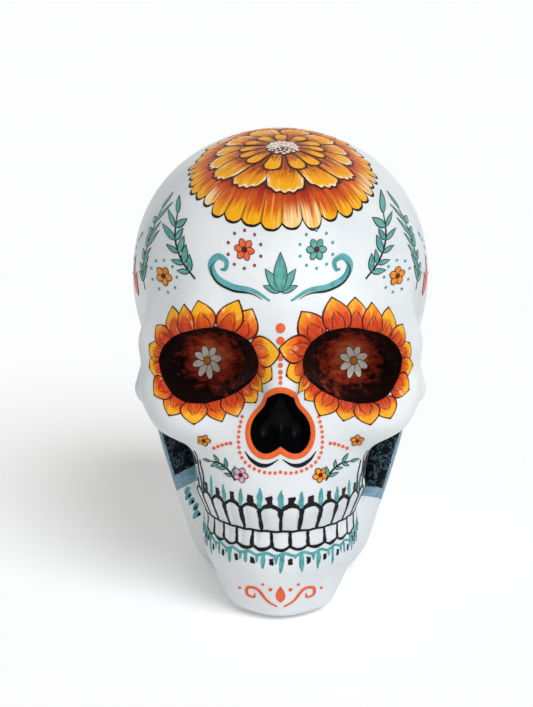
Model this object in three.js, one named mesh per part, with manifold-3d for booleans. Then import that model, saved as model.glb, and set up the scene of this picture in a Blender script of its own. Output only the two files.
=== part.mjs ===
// A life-size hollow skull ornament: two cast half shells joined at a hidden seam, a joining strip
// inside the seam, a rubber stopper in the casting hole under the base, and four felt feet.
// Millimetres. The face looks along -Y, +X is to the viewer's right, +Z is up, the feet stand on Z = 0.

import * as THREE from "three";
import { mergeVertices } from "three/addons/utils/BufferGeometryUtils.js";
import Module from "manifold-3d";

const wasm = await Module();
wasm.setup();

// Main sizes of the skull. Its form and the places of its pieces are drawn in shares of them
const WIDTH = 140;
const LENGTH = 190;
const HEIGHT = 212;
const SIZES = [WIDTH, LENGTH, HEIGHT];

// Casting
const WALL = 5;
const SEAM_Y = 0.063 * LENGTH;
const CENTRE_Z = 0.453 * HEIGHT;
const FIT_GAP = 0.3;

// Felt feet
const FOOT_THICKNESS = 1.5;
const FOOT_RADIUS = 5.5;
const FRONT_FOOT_X = 0.068 * WIDTH;
const FRONT_FOOT_Y = -0.284 * LENGTH;
// The rear feet stand behind the stopper, off to each side by an angle, clear of its flange
const REAR_FOOT_ANGLE = 35;
const REAR_FOOT_CLEARANCE = 1.5;

// Stopper, behind the joining strip
const STOPPER_CLEARANCE = 3;
const SHANK_RADIUS = 9;
const SHANK_TAPER = 1;
const SHANK_LENGTH = 12;
const FLANGE_WIDTH = 3.5;
const FLANGE_THICKNESS = 2;
const FLANGE_RECESS = 0.5;

// Joining strip
const STRIP_WIDTH = 16;
const STRIP_THICKNESS = 2.5;

// Rounding where the form meets the flat base, and how far below the base the form is drawn before it is
// cut off flat
const BASE_ROUND = 3;
const BASE_TRIM = 0.3;

// Rows of teeth: height of the middle of each row, half its height, how far it stands out, and how far
// the rows reach to each side
const UPPER_TEETH = { middle: 0.255 * HEIGHT, half: 0.031 * HEIGHT, relief: 1.1 };
const LOWER_TEETH = { middle: 0.205 * HEIGHT, half: 0.019 * HEIGHT, relief: 0.9 };
const TEETH_REACH = 0.257 * WIDTH;

// The outer form, bone by bone, in the order in which it is put together. A bone is an ellipsoid (centre,
// half sizes, turn in degrees about one axis) or a tapered rod along a path (points, radius at each). Places
// and half sizes are shares of width, length and height, and radii and blends are shares of the width. Bones
// are drawn for +X and mirrored. Each one runs into what came before with its own blend, and the temple
// takes away.
const FORM = [
  { bone: "vault", centre: [0, 0.089, 0.715], half: [0.493, 0.416, 0.285] },
  { bone: "brain case", centre: [0, 0.084, 0.604], half: [0.475, 0.421, 0.302], blend: 0.114 },
  { bone: "forehead", centre: [0, -0.168, 0.689], half: [0.421, 0.284, 0.245], blend: 0.186 },
  { bone: "temple", centre: [0.634, -0.242, 0.559], half: [0.179, 0.179, 0.131], blend: 0.157, cut: true },
  {
    bone: "socket rim",
    path: [
      [0, -0.416, 0.646],
      [0.236, -0.389, 0.651],
      [0.379, -0.295, 0.59],
      [0.379, -0.279, 0.526],
    ],
    radii: [0.057, 0.057, 0.057, 0.064],
    blend: 0.157,
  },
  {
    bone: "cheek bone",
    centre: [0.293, -0.316, 0.453],
    half: [0.129, 0.089, 0.059],
    turn: ["z", 22],
    blend: 0.1,
  },
  {
    bone: "cheek arch",
    path: [
      [0.379, -0.274, 0.486],
      [0.433, -0.105, 0.451],
      [0.433, 0.084, 0.456],
    ],
    radii: [0.053, 0.05, 0.05],
    blend: 0.067,
  },
  { bone: "middle face", centre: [0, -0.221, 0.415], half: [0.3, 0.221, 0.208], blend: 0.114 },
  {
    bone: "nose bridge",
    path: [
      [0, -0.411, 0.623],
      [0, -0.468, 0.542],
    ],
    radii: [0.054, 0.043],
    blend: 0.086,
  },
  { bone: "upper jaw", centre: [0, -0.232, 0.292], half: [0.264, 0.226, 0.132], blend: 0.114 },
  {
    bone: "lower jaw",
    blend: 0.071,
    parts: [
      { bone: "jaw body", centre: [0, -0.221, 0.156], half: [0.261, 0.226, 0.123] },
      { bone: "chin", centre: [0, -0.242, 0.061], half: [0.143, 0.163, 0.104], blend: 0.1 },
      {
        bone: "jaw edge",
        path: [
          [0.086, -0.284, 0.057],
          [0.19, -0.032, 0.09],
        ],
        radii: [0.079, 0.079],
        blend: 0.1,
      },
      {
        bone: "jaw branch",
        centre: [0.321, -0.032, 0.254],
        half: [0.064, 0.1, 0.236],
        turn: ["y", 17],
        blend: 0.086,
      },
    ],
  },
  { bone: "skull base", centre: [0, 0.142, 0.189], half: [0.286, 0.221, 0.264], blend: 0.2 },
  {
    bone: "ear process",
    centre: [0.331, 0.126, 0.377],
    half: [0.071, 0.068, 0.094],
    turn: ["y", -12],
    blend: 0.114,
  },
].map(inMillimetres);

// Hollows carved into the form: groups of ellipsoids that run into each other. Those of a side are drawn for
// +X and carved on both sides.
const HOLLOWS = [
  {
    sided: true,
    parts: [
      { bone: "cheek pocket", centre: [0.379, -0.221, 0.307], half: [0.107, 0.111, 0.118], turn: ["y", -14] },
    ],
  },
  {
    sided: true,
    parts: [
      { bone: "eye socket", centre: [0.236, -0.437, 0.577], half: [0.172, 0.184, 0.082], turn: ["y", 23] },
    ],
  },
  {
    sided: false,
    parts: [
      { bone: "nostril", centre: [0.05, -0.474, 0.439], half: [0.05, 0.089, 0.045] },
      { bone: "nose top", centre: [0, -0.474, 0.481], half: [0.05, 0.084, 0.061], blend: 0.057 },
    ],
  },
].map(inMillimetres);

// Where two lengths of a rod meet on its path, they run into each other with this blend
const BEND_BLEND = 3;

// Mesh fineness
const FACE_CELLS = 56;
const BACK_CELLS = 34;
const CAVITY_CELLS = 18;
const ROUND_SIDES = 32;
const HOLLOW_SIDES = 28;
// How far out from the middle the rays of the outer grids start in the seam plane, and the share of their
// tilt that grows evenly: with both, the rays of the face run nearly straight back
const RAY_SPREAD = 0.17 * WIDTH;
const EVEN_TILT = 0.3;
// Rounds in which the grid points of the outer form are evened out along the surface
const EVEN_ROUNDS = 16;

// Ray walking and settling on the surface
const STEP_SHARE = 0.6;
const HIT = 1e-4;
const MOST_STEPS = 600;
const SLOPE_STEP = 0.02;
const SETTLE_STEPS = 2;

const BASE_Z = FOOT_THICKNESS;
const CENTRE = [0, SEAM_Y, CENTRE_Z];
const REACH = WIDTH + LENGTH;
const PLANES = { y: [2, 0], z: [0, 1] };

// A bone or a group of bones, drawn in shares of the main sizes, in millimetres
function inMillimetres(bone) {
  const place = (shares) => shares.map((share, axis) => share * SIZES[axis]);
  return {
    ...bone,
    centre: bone.centre && place(bone.centre),
    half: bone.half && place(bone.half),
    path: bone.path?.map(place),
    radii: bone.radii?.map((share) => share * WIDTH),
    parts: bone.parts?.map(inMillimetres),
    blend: (bone.blend ?? 0) * WIDTH,
  };
}

function smoothMin(a, b, blend) {
  const overlap = Math.max(blend - Math.abs(a - b), 0) / blend;
  return Math.min(a, b) - (overlap * overlap * blend) / 4;
}

function smoothMax(a, b, blend) {
  return -smoothMin(-a, -b, blend);
}

// Distance to an ellipsoid, to first order
function ellipsoidDistance(point, { centre, half, turn }) {
  const q = point.map((value, axis) => value - centre[axis]);
  if (turn) {
    const [i, j] = PLANES[turn[0]];
    const angle = THREE.MathUtils.degToRad(turn[1]);
    const [a, b] = [q[i], q[j]];
    q[i] = Math.cos(angle) * a + Math.sin(angle) * b;
    q[j] = Math.cos(angle) * b - Math.sin(angle) * a;
  }
  const near = Math.hypot(...q.map((value, axis) => value / half[axis]));
  const slope = Math.hypot(...q.map((value, axis) => value / half[axis] ** 2));
  return slope === 0 ? -Math.min(...half) : (near * (near - 1)) / slope;
}

// Distance to a rod with round ends along a path, whose radius runs evenly from point to point
function rodDistance(point, { path, radii }) {
  const dot = (a, b) => a[0] * b[0] + a[1] * b[1] + a[2] * b[2];
  const lengths = path.slice(1).map((to, index) => {
    const from = path[index];
    const along = to.map((value, axis) => value - from[axis]);
    const q = point.map((value, axis) => value - from[axis]);
    const share = THREE.MathUtils.clamp(dot(q, along) / dot(along, along), 0, 1);
    const off = q.map((value, axis) => value - share * along[axis]);
    return Math.hypot(...off) - THREE.MathUtils.lerp(radii[index], radii[index + 1], share);
  });
  return lengths.reduce((distance, own) => smoothMin(distance, own, BEND_BLEND));
}

// Distance to a list of bones put together in order, negative inside
function bonesDistance(point, bones) {
  let distance = Infinity;
  for (const bone of bones) {
    const shape = bone.parts ? bonesDistance : bone.half ? ellipsoidDistance : rodDistance;
    const own = shape(point, bone.parts ?? bone);
    if (distance === Infinity) distance = own;
    else if (bone.cut) distance = smoothMax(distance, -own, bone.blend);
    else distance = smoothMin(distance, own, bone.blend);
  }
  return distance;
}

// How far a row of teeth stands out of the jaws at a point
function toothRelief([x, y, z], { middle, half, relief }) {
  if (y > 0) return 0;
  const across = 1 / (1 + Math.exp(x - TEETH_REACH));
  return relief * across * Math.exp(-(((z - middle) / half) ** 4));
}

// Distance to the form before it is carved: bones, rows of teeth, flat base
function formDistance(point) {
  const mirrored = [Math.abs(point[0]), point[1], point[2]];
  const teeth = toothRelief(mirrored, UPPER_TEETH) + toothRelief(mirrored, LOWER_TEETH);
  const bones = bonesDistance(mirrored, FORM) - teeth;
  return smoothMax(bones, BASE_Z - BASE_TRIM - point[2], BASE_ROUND);
}

// Distance to the form with its hollows
function carvedDistance(point) {
  const mirrored = [Math.abs(point[0]), point[1], point[2]];
  const hollows = HOLLOWS.map(({ parts }) => bonesDistance(mirrored, parts));
  return Math.max(formDistance(point), -Math.min(...hollows));
}

function along({ origin, direction }, distance) {
  return origin.map((value, axis) => value + distance * direction[axis]);
}

// Point of the outer form on a ray, walking in from far outside
function outerPoint(ray) {
  let distance = REACH;
  for (let step = 0; step < MOST_STEPS; step += 1) {
    const gap = formDistance(along(ray, distance));
    if (gap < HIT) break;
    distance -= STEP_SHARE * gap;
  }
  return along(ray, distance);
}

// Point on a ray where what is spare runs out, walking out from its origin
function walkOut(ray, spareAt) {
  let distance = 0;
  for (let step = 0; step < MOST_STEPS; step += 1) {
    const spare = spareAt(along(ray, distance));
    if (spare < HIT) break;
    distance += STEP_SHARE * spare;
  }
  return along(ray, distance);
}

// Moves a point onto the outer form along the slope of its distance
function settle(point) {
  let place = point;
  for (let step = 0; step < SETTLE_STEPS; step += 1) {
    const gap = formDistance(place);
    const slope = place.map((value, axis) => {
      const beside = place.with(axis, value + SLOPE_STEP);
      return (formDistance(beside) - gap) / SLOPE_STEP;
    });
    const steepness = slope.reduce((sum, value) => sum + value * value, 0);
    place = place.map((value, axis) => value - (gap * slope[axis]) / steepness);
  }
  return place;
}

// Ray for a point of the square -1..1. The square becomes a disc in the seam plane; its rays look along -Y
// (facing -1) or +Y (facing 1) in the middle, tilt outwards with the radius, and lie in the plane at the rim
function halfRay(s, t, facing, spread) {
  const rim = Math.max(Math.abs(s), Math.abs(t));
  if (rim === 0) return { origin: CENTRE, direction: [0, facing, 0] };
  const wide = Math.abs(s) >= Math.abs(t);
  const turn = wide ? (Math.PI / 4) * (t / s) : Math.PI / 2 - (Math.PI / 4) * (s / t);
  const sign = Math.sign(wide ? s : t);
  const outward = [sign * Math.cos(turn), 0, sign * Math.sin(turn)];
  const tilt = (Math.PI / 2) * (EVEN_TILT * rim + (1 - EVEN_TILT) * rim ** 4);
  const start = spread * (2 * rim - rim ** 2);
  const ahead = rim === 1 ? 0 : facing * Math.cos(tilt);
  const origin = CENTRE.map((value, axis) => value + start * outward[axis]);
  const direction = outward.map((value, axis) => value * Math.sin(tilt) + (axis === 1 ? ahead : 0));
  return { origin, direction };
}

// Evens out a grid of points along the outer form, with its rim held
function evenOut(points, cells) {
  const row = cells + 1;
  const inner = (index) => {
    const [i, j] = [index % row, Math.floor(index / row)];
    return i > 0 && i < cells && j > 0 && j < cells;
  };
  let grid = points;
  for (let round = 0; round < EVEN_ROUNDS; round += 1) {
    grid = grid.map((point, index) => {
      if (!inner(index)) return point;
      const beside = [grid[index - 1], grid[index + 1], grid[index - row], grid[index + row]];
      return settle(point.map((_, axis) => beside.reduce((sum, next) => sum + next[axis], 0) / beside.length));
    });
  }
  return grid;
}

// Points of one half of the outer form
function outerGrid(cells, facing) {
  return evenOut(gridPoints(cells, facing, RAY_SPREAD, outerPoint), cells);
}

// Points of one half of the space at a depth under the surface
function innerGrid(cells, facing, depth) {
  return gridPoints(cells, facing, 0, (ray) => walkOut(ray, (point) => -carvedDistance(point) - depth));
}

function gridPoints(cells, facing, spread, pointOn) {
  const points = [];
  for (let j = 0; j <= cells; j += 1) {
    for (let i = 0; i <= cells; i += 1) {
      points.push(pointOn(halfRay((2 * i) / cells - 1, (2 * j) / cells - 1, facing, spread)));
    }
  }
  return points;
}

// Triangles of a grid, facing out, with the cells split alike on both sides of the middle plane
function gridTriangles(cells, facing) {
  const row = cells + 1;
  const triangles = [];
  const addTriangle = (a, b, c) => triangles.push(...(facing < 0 ? [a, b, c] : [a, c, b]));
  for (let j = 0; j < cells; j += 1) {
    for (let i = 0; i < cells; i += 1) {
      const [low, lowNext] = [j * row + i, j * row + i + 1];
      const [high, highNext] = [low + row, lowNext + row];
      const rising = i < cells / 2 === j < cells / 2;
      addTriangle(low, lowNext, rising ? highNext : high);
      addTriangle(rising ? low : lowNext, highNext, high);
    }
  }
  return triangles;
}

// Indices of a grid's rim, once round
function rimIndices(cells) {
  const row = cells + 1;
  const steps = [...Array(cells).keys()];
  return [
    ...steps.map((i) => i),
    ...steps.map((j) => j * row + cells),
    ...steps.map((i) => cells * row + cells - i),
    ...steps.map((j) => (cells - j) * row),
  ];
}

function solidFrom(points, triangles) {
  const geometry = new THREE.BufferGeometry();
  geometry.setAttribute("position", new THREE.Float32BufferAttribute(points.flat(), 3));
  geometry.setIndex(triangles);
  return solid(geometry);
}

// Closed geometry as a solid that can be cut and joined
function solid(geometry) {
  const bare = geometry.clone();
  bare.deleteAttribute("normal");
  bare.deleteAttribute("uv");
  const merged = mergeVertices(bare);
  const vertProperties = new Float32Array(merged.attributes.position.array);
  const triVerts = new Uint32Array(merged.index.array);
  return new wasm.Manifold(new wasm.Mesh({ numProp: 3, vertProperties, triVerts }));
}

function geometryOf(body) {
  const { vertProperties, triVerts } = body.getMesh();
  const geometry = new THREE.BufferGeometry();
  geometry.setAttribute("position", new THREE.BufferAttribute(vertProperties, 3));
  geometry.setIndex(new THREE.BufferAttribute(triVerts, 1));
  geometry.computeVertexNormals();
  return geometry;
}

function boxSolid(low, high) {
  const size = high.map((value, axis) => value - low[axis]);
  const geometry = new THREE.BoxGeometry(...size);
  geometry.translate(...low.map((value, axis) => value + size[axis] / 2));
  return solid(geometry);
}

// Solid of revolution about a vertical axis at (0, y), from radius and height pairs
function turnedGeometry(profile, y) {
  const points = profile.map(([radius, height]) => new THREE.Vector2(radius, height));
  return new THREE.LatheGeometry(points, ROUND_SIDES).rotateX(Math.PI / 2).translate(0, y, 0);
}

// A hollow as a solid on one side: a ball whose points are walked out from its middle to the hollow's wall
function hollowSolid({ parts, sided }, side) {
  const mean = (axis) => parts.reduce((sum, { centre }) => sum + centre[axis], 0) / parts.length;
  const middle = [sided ? mean(0) : 0, mean(1), mean(2)];
  const ball = new THREE.SphereGeometry(1, HOLLOW_SIDES, HOLLOW_SIDES / 2);
  const { position } = ball.attributes;
  for (let index = 0; index < position.count; index += 1) {
    const direction = [side * position.getX(index), position.getY(index), position.getZ(index)];
    const wall = ([x, y, z]) => -bonesDistance([Math.abs(x), y, z], parts);
    const place = walkOut({ origin: middle, direction }, wall);
    position.setXYZ(index, side * place[0], place[1], place[2]);
  }
  return solid(ball);
}

function carve(body) {
  return HOLLOWS.reduce((rest, hollow) => {
    const sides = hollow.sided ? [-1, 1] : [1];
    return sides.reduce((left, side) => left.subtract(hollowSolid(hollow, side)), rest);
  }, body);
}

// Half of the outer form, closed by a flat face in the seam plane and cut off flat at the base
function outerHalf(cells, facing) {
  const grid = outerGrid(cells, facing);
  const rim = rimIndices(cells);
  const cap = rim.flatMap((index, step) => {
    const next = rim[(step + 1) % rim.length];
    return facing < 0 ? [grid.length, next, index] : [grid.length, index, next];
  });
  const below = boxSolid([-REACH, -REACH, -REACH], [REACH, REACH, BASE_Z]);
  return solidFrom([...grid, CENTRE], [...gridTriangles(cells, facing), ...cap]).subtract(below);
}

// Space inside the form at a depth under its surface
function cavity(depth) {
  const front = innerGrid(CAVITY_CELLS, -1, depth);
  const back = innerGrid(CAVITY_CELLS, 1, depth);
  const backTriangles = gridTriangles(CAVITY_CELLS, 1).map((index) => index + front.length);
  return solidFrom([...front, ...back], [...gridTriangles(CAVITY_CELLS, -1), ...backTriangles]);
}

const STOPPER_Y = SEAM_Y + STRIP_WIDTH / 2 + STOPPER_CLEARANCE + SHANK_RADIUS;
const FLANGE_RADIUS = SHANK_RADIUS + FLANGE_WIDTH;
const FLANGE_BOTTOM = BASE_Z + FLANGE_RECESS;
const FLANGE_TOP = FLANGE_BOTTOM + FLANGE_THICKNESS;

// Hole for the stopper, with a seat for its flange, wider than the stopper by the fit gap
function stopperHole() {
  const flange = FLANGE_RADIUS + FIT_GAP;
  const shank = SHANK_RADIUS + FIT_GAP;
  const seat = FLANGE_TOP + FIT_GAP;
  const top = FLANGE_TOP + SHANK_LENGTH;
  const profile = [
    [0, 0],
    [flange, 0],
    [flange, seat],
    [shank, seat],
    [shank, top],
    [0, top],
  ];
  return solid(turnedGeometry(profile, STOPPER_Y));
}

function stopperGeometry() {
  const tip = SHANK_RADIUS - SHANK_TAPER;
  const top = FLANGE_TOP + SHANK_LENGTH;
  const profile = [
    [0, FLANGE_BOTTOM],
    [FLANGE_RADIUS, FLANGE_BOTTOM],
    [FLANGE_RADIUS, FLANGE_TOP],
    [SHANK_RADIUS, FLANGE_TOP],
    [tip, top],
    [0, top],
  ];
  return turnedGeometry(profile, STOPPER_Y);
}

// Strip round the inside of the seam
function joiningStrip() {
  const outside = cavity(WALL + FIT_GAP);
  const inside = cavity(WALL + FIT_GAP + STRIP_THICKNESS);
  const low = [-REACH, SEAM_Y - STRIP_WIDTH / 2, -REACH];
  const high = [REACH, SEAM_Y + STRIP_WIDTH / 2, REACH];
  return outside.subtract(inside).intersect(boxSolid(low, high));
}

const paint = { color: 0xf1f2f0, roughness: 0.4, metalness: 0 };
const resin = { color: 0xd8d0bd, roughness: 0.6, metalness: 0 };
const rubber = { color: 0x2b2b2d, roughness: 0.8, metalness: 0 };
const felt = { color: 0x4a4540, roughness: 0.95, metalness: 0 };

function part(name, geometry, finish) {
  const mesh = new THREE.Mesh(geometry, new THREE.MeshStandardMaterial(finish));
  mesh.name = name;
  return mesh;
}

function foot(name, x, y) {
  const disc = new THREE.CylinderGeometry(FOOT_RADIUS, FOOT_RADIUS, FOOT_THICKNESS, ROUND_SIDES);
  const mesh = part(name, disc.rotateX(Math.PI / 2), felt);
  mesh.position.set(x, y, FOOT_THICKNESS / 2);
  return mesh;
}

const rearFootAngle = THREE.MathUtils.degToRad(REAR_FOOT_ANGLE);
const rearFootReach = FLANGE_RADIUS + REAR_FOOT_CLEARANCE + FOOT_RADIUS;
const rearFootX = rearFootReach * Math.cos(rearFootAngle);
const rearFootY = STOPPER_Y + rearFootReach * Math.sin(rearFootAngle);

const hollow = cavity(WALL);
const faceShell = geometryOf(carve(outerHalf(FACE_CELLS, -1)).subtract(hollow));
const backShell = geometryOf(outerHalf(BACK_CELLS, 1).subtract(hollow).subtract(stopperHole()));

const skull = new THREE.Group();
skull.add(
  part("face_shell", faceShell, paint),
  part("back_shell", backShell, paint),
  part("seam_strip", geometryOf(joiningStrip()), resin),
  part("base_stopper", stopperGeometry(), rubber),
  foot("foot_front_left", -FRONT_FOOT_X, FRONT_FOOT_Y),
  foot("foot_front_right", FRONT_FOOT_X, FRONT_FOOT_Y),
  foot("foot_rear_left", -rearFootX, rearFootY),
  foot("foot_rear_right", rearFootX, rearFootY),
);

// The origin is under the middle of the whole skull
const bounds = new THREE.Box3().setFromObject(skull);
skull.position.y = -(bounds.min.y + bounds.max.y) / 2;

export default skull;
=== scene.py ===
"""A hand-painted sugar skull ornament: two cast half shells, the parts under their base, and the paint."""

import math

import bpy
import numpy as np
from bpy.props import FloatProperty, FloatVectorProperty, IntProperty, PointerProperty
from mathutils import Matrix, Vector


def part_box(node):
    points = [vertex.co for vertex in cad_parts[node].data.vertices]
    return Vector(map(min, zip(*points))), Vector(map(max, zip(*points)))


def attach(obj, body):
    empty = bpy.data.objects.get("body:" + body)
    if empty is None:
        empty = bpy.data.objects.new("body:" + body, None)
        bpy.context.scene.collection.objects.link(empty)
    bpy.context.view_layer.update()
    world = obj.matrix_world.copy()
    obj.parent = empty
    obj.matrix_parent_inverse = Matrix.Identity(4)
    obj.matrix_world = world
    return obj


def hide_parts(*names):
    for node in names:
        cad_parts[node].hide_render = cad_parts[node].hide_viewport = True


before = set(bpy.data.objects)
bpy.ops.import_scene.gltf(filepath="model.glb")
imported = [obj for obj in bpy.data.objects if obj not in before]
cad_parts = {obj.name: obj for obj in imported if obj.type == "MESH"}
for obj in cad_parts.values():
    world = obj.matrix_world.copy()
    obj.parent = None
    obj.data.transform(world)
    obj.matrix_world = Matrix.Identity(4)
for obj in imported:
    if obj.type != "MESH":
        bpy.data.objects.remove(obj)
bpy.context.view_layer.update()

bl_info = {
    "name": "Painted Sugar Skull",
    "version": (1, 0, 0),
    "blender": (4, 5, 0),
    "location": "View3D > Sidebar > Sugar Skull",
    "description": "Builds a cast skull ornament and paints it with marigolds, dots, teeth and sprigs",
    "category": "Object",
}

# All lengths are millimetres of the form, until a mesh is made

WIDTH = 140.0
LENGTH = 190.0
HEIGHT = 212.0
SIZES = np.array((WIDTH, LENGTH, HEIGHT))

WALL = 5.0
SEAM_Y = 0.063 * LENGTH
CENTRE = np.array((0.0, SEAM_Y, 0.453 * HEIGHT))
BASE_Z = 1.5
BASE_ROUND = 3.0
BEND_BLEND = 3.0

# How far the frame lies behind the form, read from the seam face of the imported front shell
FRAME_Y = 1000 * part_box("face_shell")[1][1] - SEAM_Y

# The bones of the outer form, in shares of width, length and height, with radii and blends in shares of the
# width. They are drawn for +X and mirrored, and each runs into those before it.
BONES = (
    dict(bone="vault", centre=(0, 0.089, 0.715), half=(0.493, 0.416, 0.285)),
    dict(bone="brain case", centre=(0, 0.084, 0.604), half=(0.475, 0.421, 0.302), blend=0.114),
    dict(bone="forehead", centre=(0, -0.168, 0.689), half=(0.421, 0.284, 0.245), blend=0.186),
    dict(bone="temple", centre=(0.634, -0.242, 0.559), half=(0.179, 0.179, 0.131), blend=0.157, cut=True),
    dict(
        bone="socket rim",
        path=((0, -0.416, 0.646), (0.236, -0.389, 0.651), (0.379, -0.295, 0.59), (0.379, -0.279, 0.526)),
        radii=(0.057, 0.057, 0.057, 0.064),
        blend=0.157,
    ),
    dict(
        bone="cheek bone",
        centre=(0.293, -0.316, 0.453),
        half=(0.129, 0.089, 0.059),
        turn=("z", 22),
        blend=0.1,
    ),
    dict(
        bone="cheek arch",
        path=((0.379, -0.274, 0.486), (0.433, -0.105, 0.451), (0.433, 0.084, 0.456)),
        radii=(0.053, 0.05, 0.05),
        blend=0.067,
    ),
    dict(bone="middle face", centre=(0, -0.221, 0.415), half=(0.3, 0.221, 0.208), blend=0.114),
    dict(
        bone="nose bridge",
        path=((0, -0.411, 0.623), (0, -0.468, 0.542)),
        radii=(0.054, 0.043),
        blend=0.086,
    ),
    dict(bone="upper jaw", centre=(0, -0.232, 0.292), half=(0.264, 0.226, 0.132), blend=0.114),
    dict(
        bone="lower jaw",
        blend=0.071,
        parts=(
            dict(bone="jaw body", centre=(0, -0.221, 0.156), half=(0.261, 0.226, 0.123)),
            dict(bone="chin", centre=(0, -0.242, 0.061), half=(0.143, 0.163, 0.104), blend=0.1),
            dict(
                bone="jaw edge",
                path=((0.086, -0.284, 0.057), (0.19, -0.032, 0.09)),
                radii=(0.079, 0.079),
                blend=0.1,
            ),
            dict(
                bone="jaw branch",
                centre=(0.321, -0.032, 0.254),
                half=(0.064, 0.1, 0.236),
                turn=("y", 17),
                blend=0.086,
            ),
        ),
    ),
    dict(bone="skull base", centre=(0, 0.142, 0.189), half=(0.286, 0.221, 0.264), blend=0.2),
    dict(
        bone="ear process",
        centre=(0.331, 0.126, 0.377),
        half=(0.071, 0.068, 0.094),
        turn=("y", -12),
        blend=0.114,
    ),
)

POCKET = (
    dict(bone="cheek pocket", centre=(0.379, -0.221, 0.307), half=(0.107, 0.111, 0.118), turn=("y", -14)),
)
SOCKET = (
    dict(bone="eye socket", centre=(0.236, -0.437, 0.577), half=(0.172, 0.184, 0.082), turn=("y", 23)),
)
NOSE = (
    dict(bone="nostril", centre=(0.05, -0.474, 0.439), half=(0.05, 0.089, 0.045)),
    dict(bone="nose top", centre=(0, -0.474, 0.481), half=(0.05, 0.084, 0.061), blend=0.057),
)

# Each hollow with the rounding of its edge, and the point outside from which its floor is seen whole
HOLLOWS = (
    dict(parts=POCKET, edge=4.0, seen_from=np.array((86.0, -74.0, 65.0)), sided=True),
    dict(parts=SOCKET, edge=3.0, seen_from=np.array((34.0, -150.0, 121.5)), sided=True),
    dict(parts=NOSE, edge=1.6, seen_from=np.array((0.0, -140.0, 98.0)), sided=False),
)

EYE = np.array((SOCKET[0]["centre"][0] * WIDTH, SOCKET[0]["centre"][2] * HEIGHT))
NOSE_MIDDLE = np.array((0.0, 0.462 * HEIGHT))

# The jaws as an upright oval tube: the teeth stand round it
JAW_Y = -0.232 * LENGTH
JAW_HALF = np.array((0.264 * WIDTH, 0.226 * LENGTH))
TOOTH_PITCH = 0.212
TOOTH_REACH = 1.45
TOOTH_FADE = 0.05
TOOTH_VALLEY = 0.3
TOOTH_ROUND = 0.7
UPPER_ROW = dict(middle=0.255 * HEIGHT, half=0.031 * HEIGHT, relief=1.15)
LOWER_ROW = dict(middle=0.205 * HEIGHT, half=0.019 * HEIGHT, relief=0.95)

# The axes of the plane in which a bone is turned
PLANES = {"y": (2, 0), "z": (0, 1)}

# Paint in the cheek pockets. The brink is the front corner of the jaw branch: it leans out with the height,
# less so above the bend. The branch is the wall behind the pocket.
BRINK = dict(x=44.5, z=35.0, lean=0.27, bend_z=72.0, bend=0.16)
BRANCH = dict(front=-34.0, back=-12.0, top=89.0)
# The lower end of the dark at a corner of the branch, its slopes across and back, and how far the blue goes
# below it and to the front, on the left and on the right
POCKET_CORNER = (48.6, -23.5)
POCKET_LEFT = dict(low=54.0, across=0.56, back=0.3, band=8.0, front=-61.0)
POCKET_RIGHT = dict(low=47.0, across=0.1, back=0.45, band=5.0, front=-53.0)
# How far dark and blue run past the hollow itself, the dark less so from one height to another, and how far
# they run past the brink
DARK_SPILL = ((80.0, 88.0), (7.0, 5.0))
BLUE_SPILL = 9.5
DARK_BRINK = 1.5
BLUE_BRINK = 3.4

# Middle and size of the glow in the sockets
GLOW = dict(x=EYE[0] - 2.0, z=EYE[1] - 3.0, wide=22.0, high=18.0)

# How far out the rays of a drawing start: in front, beside the head and round the jaws
IN_FRONT = 150.0
BESIDE = 120.0
ROUND_JAWS = 75.0

# The marigold's middle, near the top of the head, and the length and number of its paths
CROWN = (1.0, -17.5, 212.0)
CROWN_PATHS = 180
CROWN_LENGTH = 84

# How deep a patch of paint goes into the form, and the least angles of sharp edges, in degrees
PAINT_ROOT = 0.35
SEAM_ANGLE = 50
PAINT_ANGLE = 60
TURNED_ANGLE = 55

# The hole for the stopper: clearance, and the flange's thickness and width
HOLE_GAP = 0.3
FLANGE_THICK = 2.0
FLANGE_WIDE = 3.5

# Cells along each side of the inner form's grid
CAVITY_CELLS = 48


def linear(red, green, blue):
    """A colour of a colour chart, 0 to 255, as the light that it sends back."""
    share = np.array((red, green, blue)) / 255
    low = share / 12.92
    high = ((share + 0.055) / 1.055) ** 2.4
    return tuple(float(value) for value in np.where(share <= 0.04045, low, high))


# The form


def smooth_min(a, b, blend):
    """The lesser of two distances, rounded by a quarter of the blend where they are alike."""
    overlap = np.maximum(blend - np.abs(a - b), 0) / blend
    return np.minimum(a, b) - overlap * overlap * blend / 4


def smooth_max(a, b, blend):
    """The greater of two distances, rounded in the same way."""
    return -smooth_min(-a, -b, blend)


def ellipsoid_distance(points, bone):
    """Distance to an ellipsoid to first order: how far out in shares of it, over the slope of that."""
    q = points - np.array(bone["centre"]) * SIZES
    half = np.array(bone["half"]) * SIZES
    if "turn" in bone:
        i, j = PLANES[bone["turn"][0]]
        angle = math.radians(bone["turn"][1])
        a, b = q[:, i].copy(), q[:, j].copy()
        q[:, i] = math.cos(angle) * a + math.sin(angle) * b
        q[:, j] = math.cos(angle) * b - math.sin(angle) * a
    near = np.sqrt(np.sum((q / half) ** 2, axis=1))
    slope = np.sqrt(np.sum((q / half**2) ** 2, axis=1))
    return near * (near - 1) / np.maximum(slope, 1e-9)


def rod_distance(points, bone):
    """Distance to a rod with round ends along a path, whose radius runs evenly from point to point."""
    path = np.array(bone["path"]) * SIZES
    radii = np.array(bone["radii"]) * WIDTH
    distance = None
    for start, end, first, last in zip(path[:-1], path[1:], radii[:-1], radii[1:]):
        run = end - start
        share = np.clip((points - start) @ run / (run @ run), 0, 1)
        off = points - start - share[:, None] * run
        own = np.sqrt(np.sum(off * off, axis=1)) - (first + (last - first) * share)
        distance = own if distance is None else smooth_min(distance, own, BEND_BLEND)
    return distance


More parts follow.
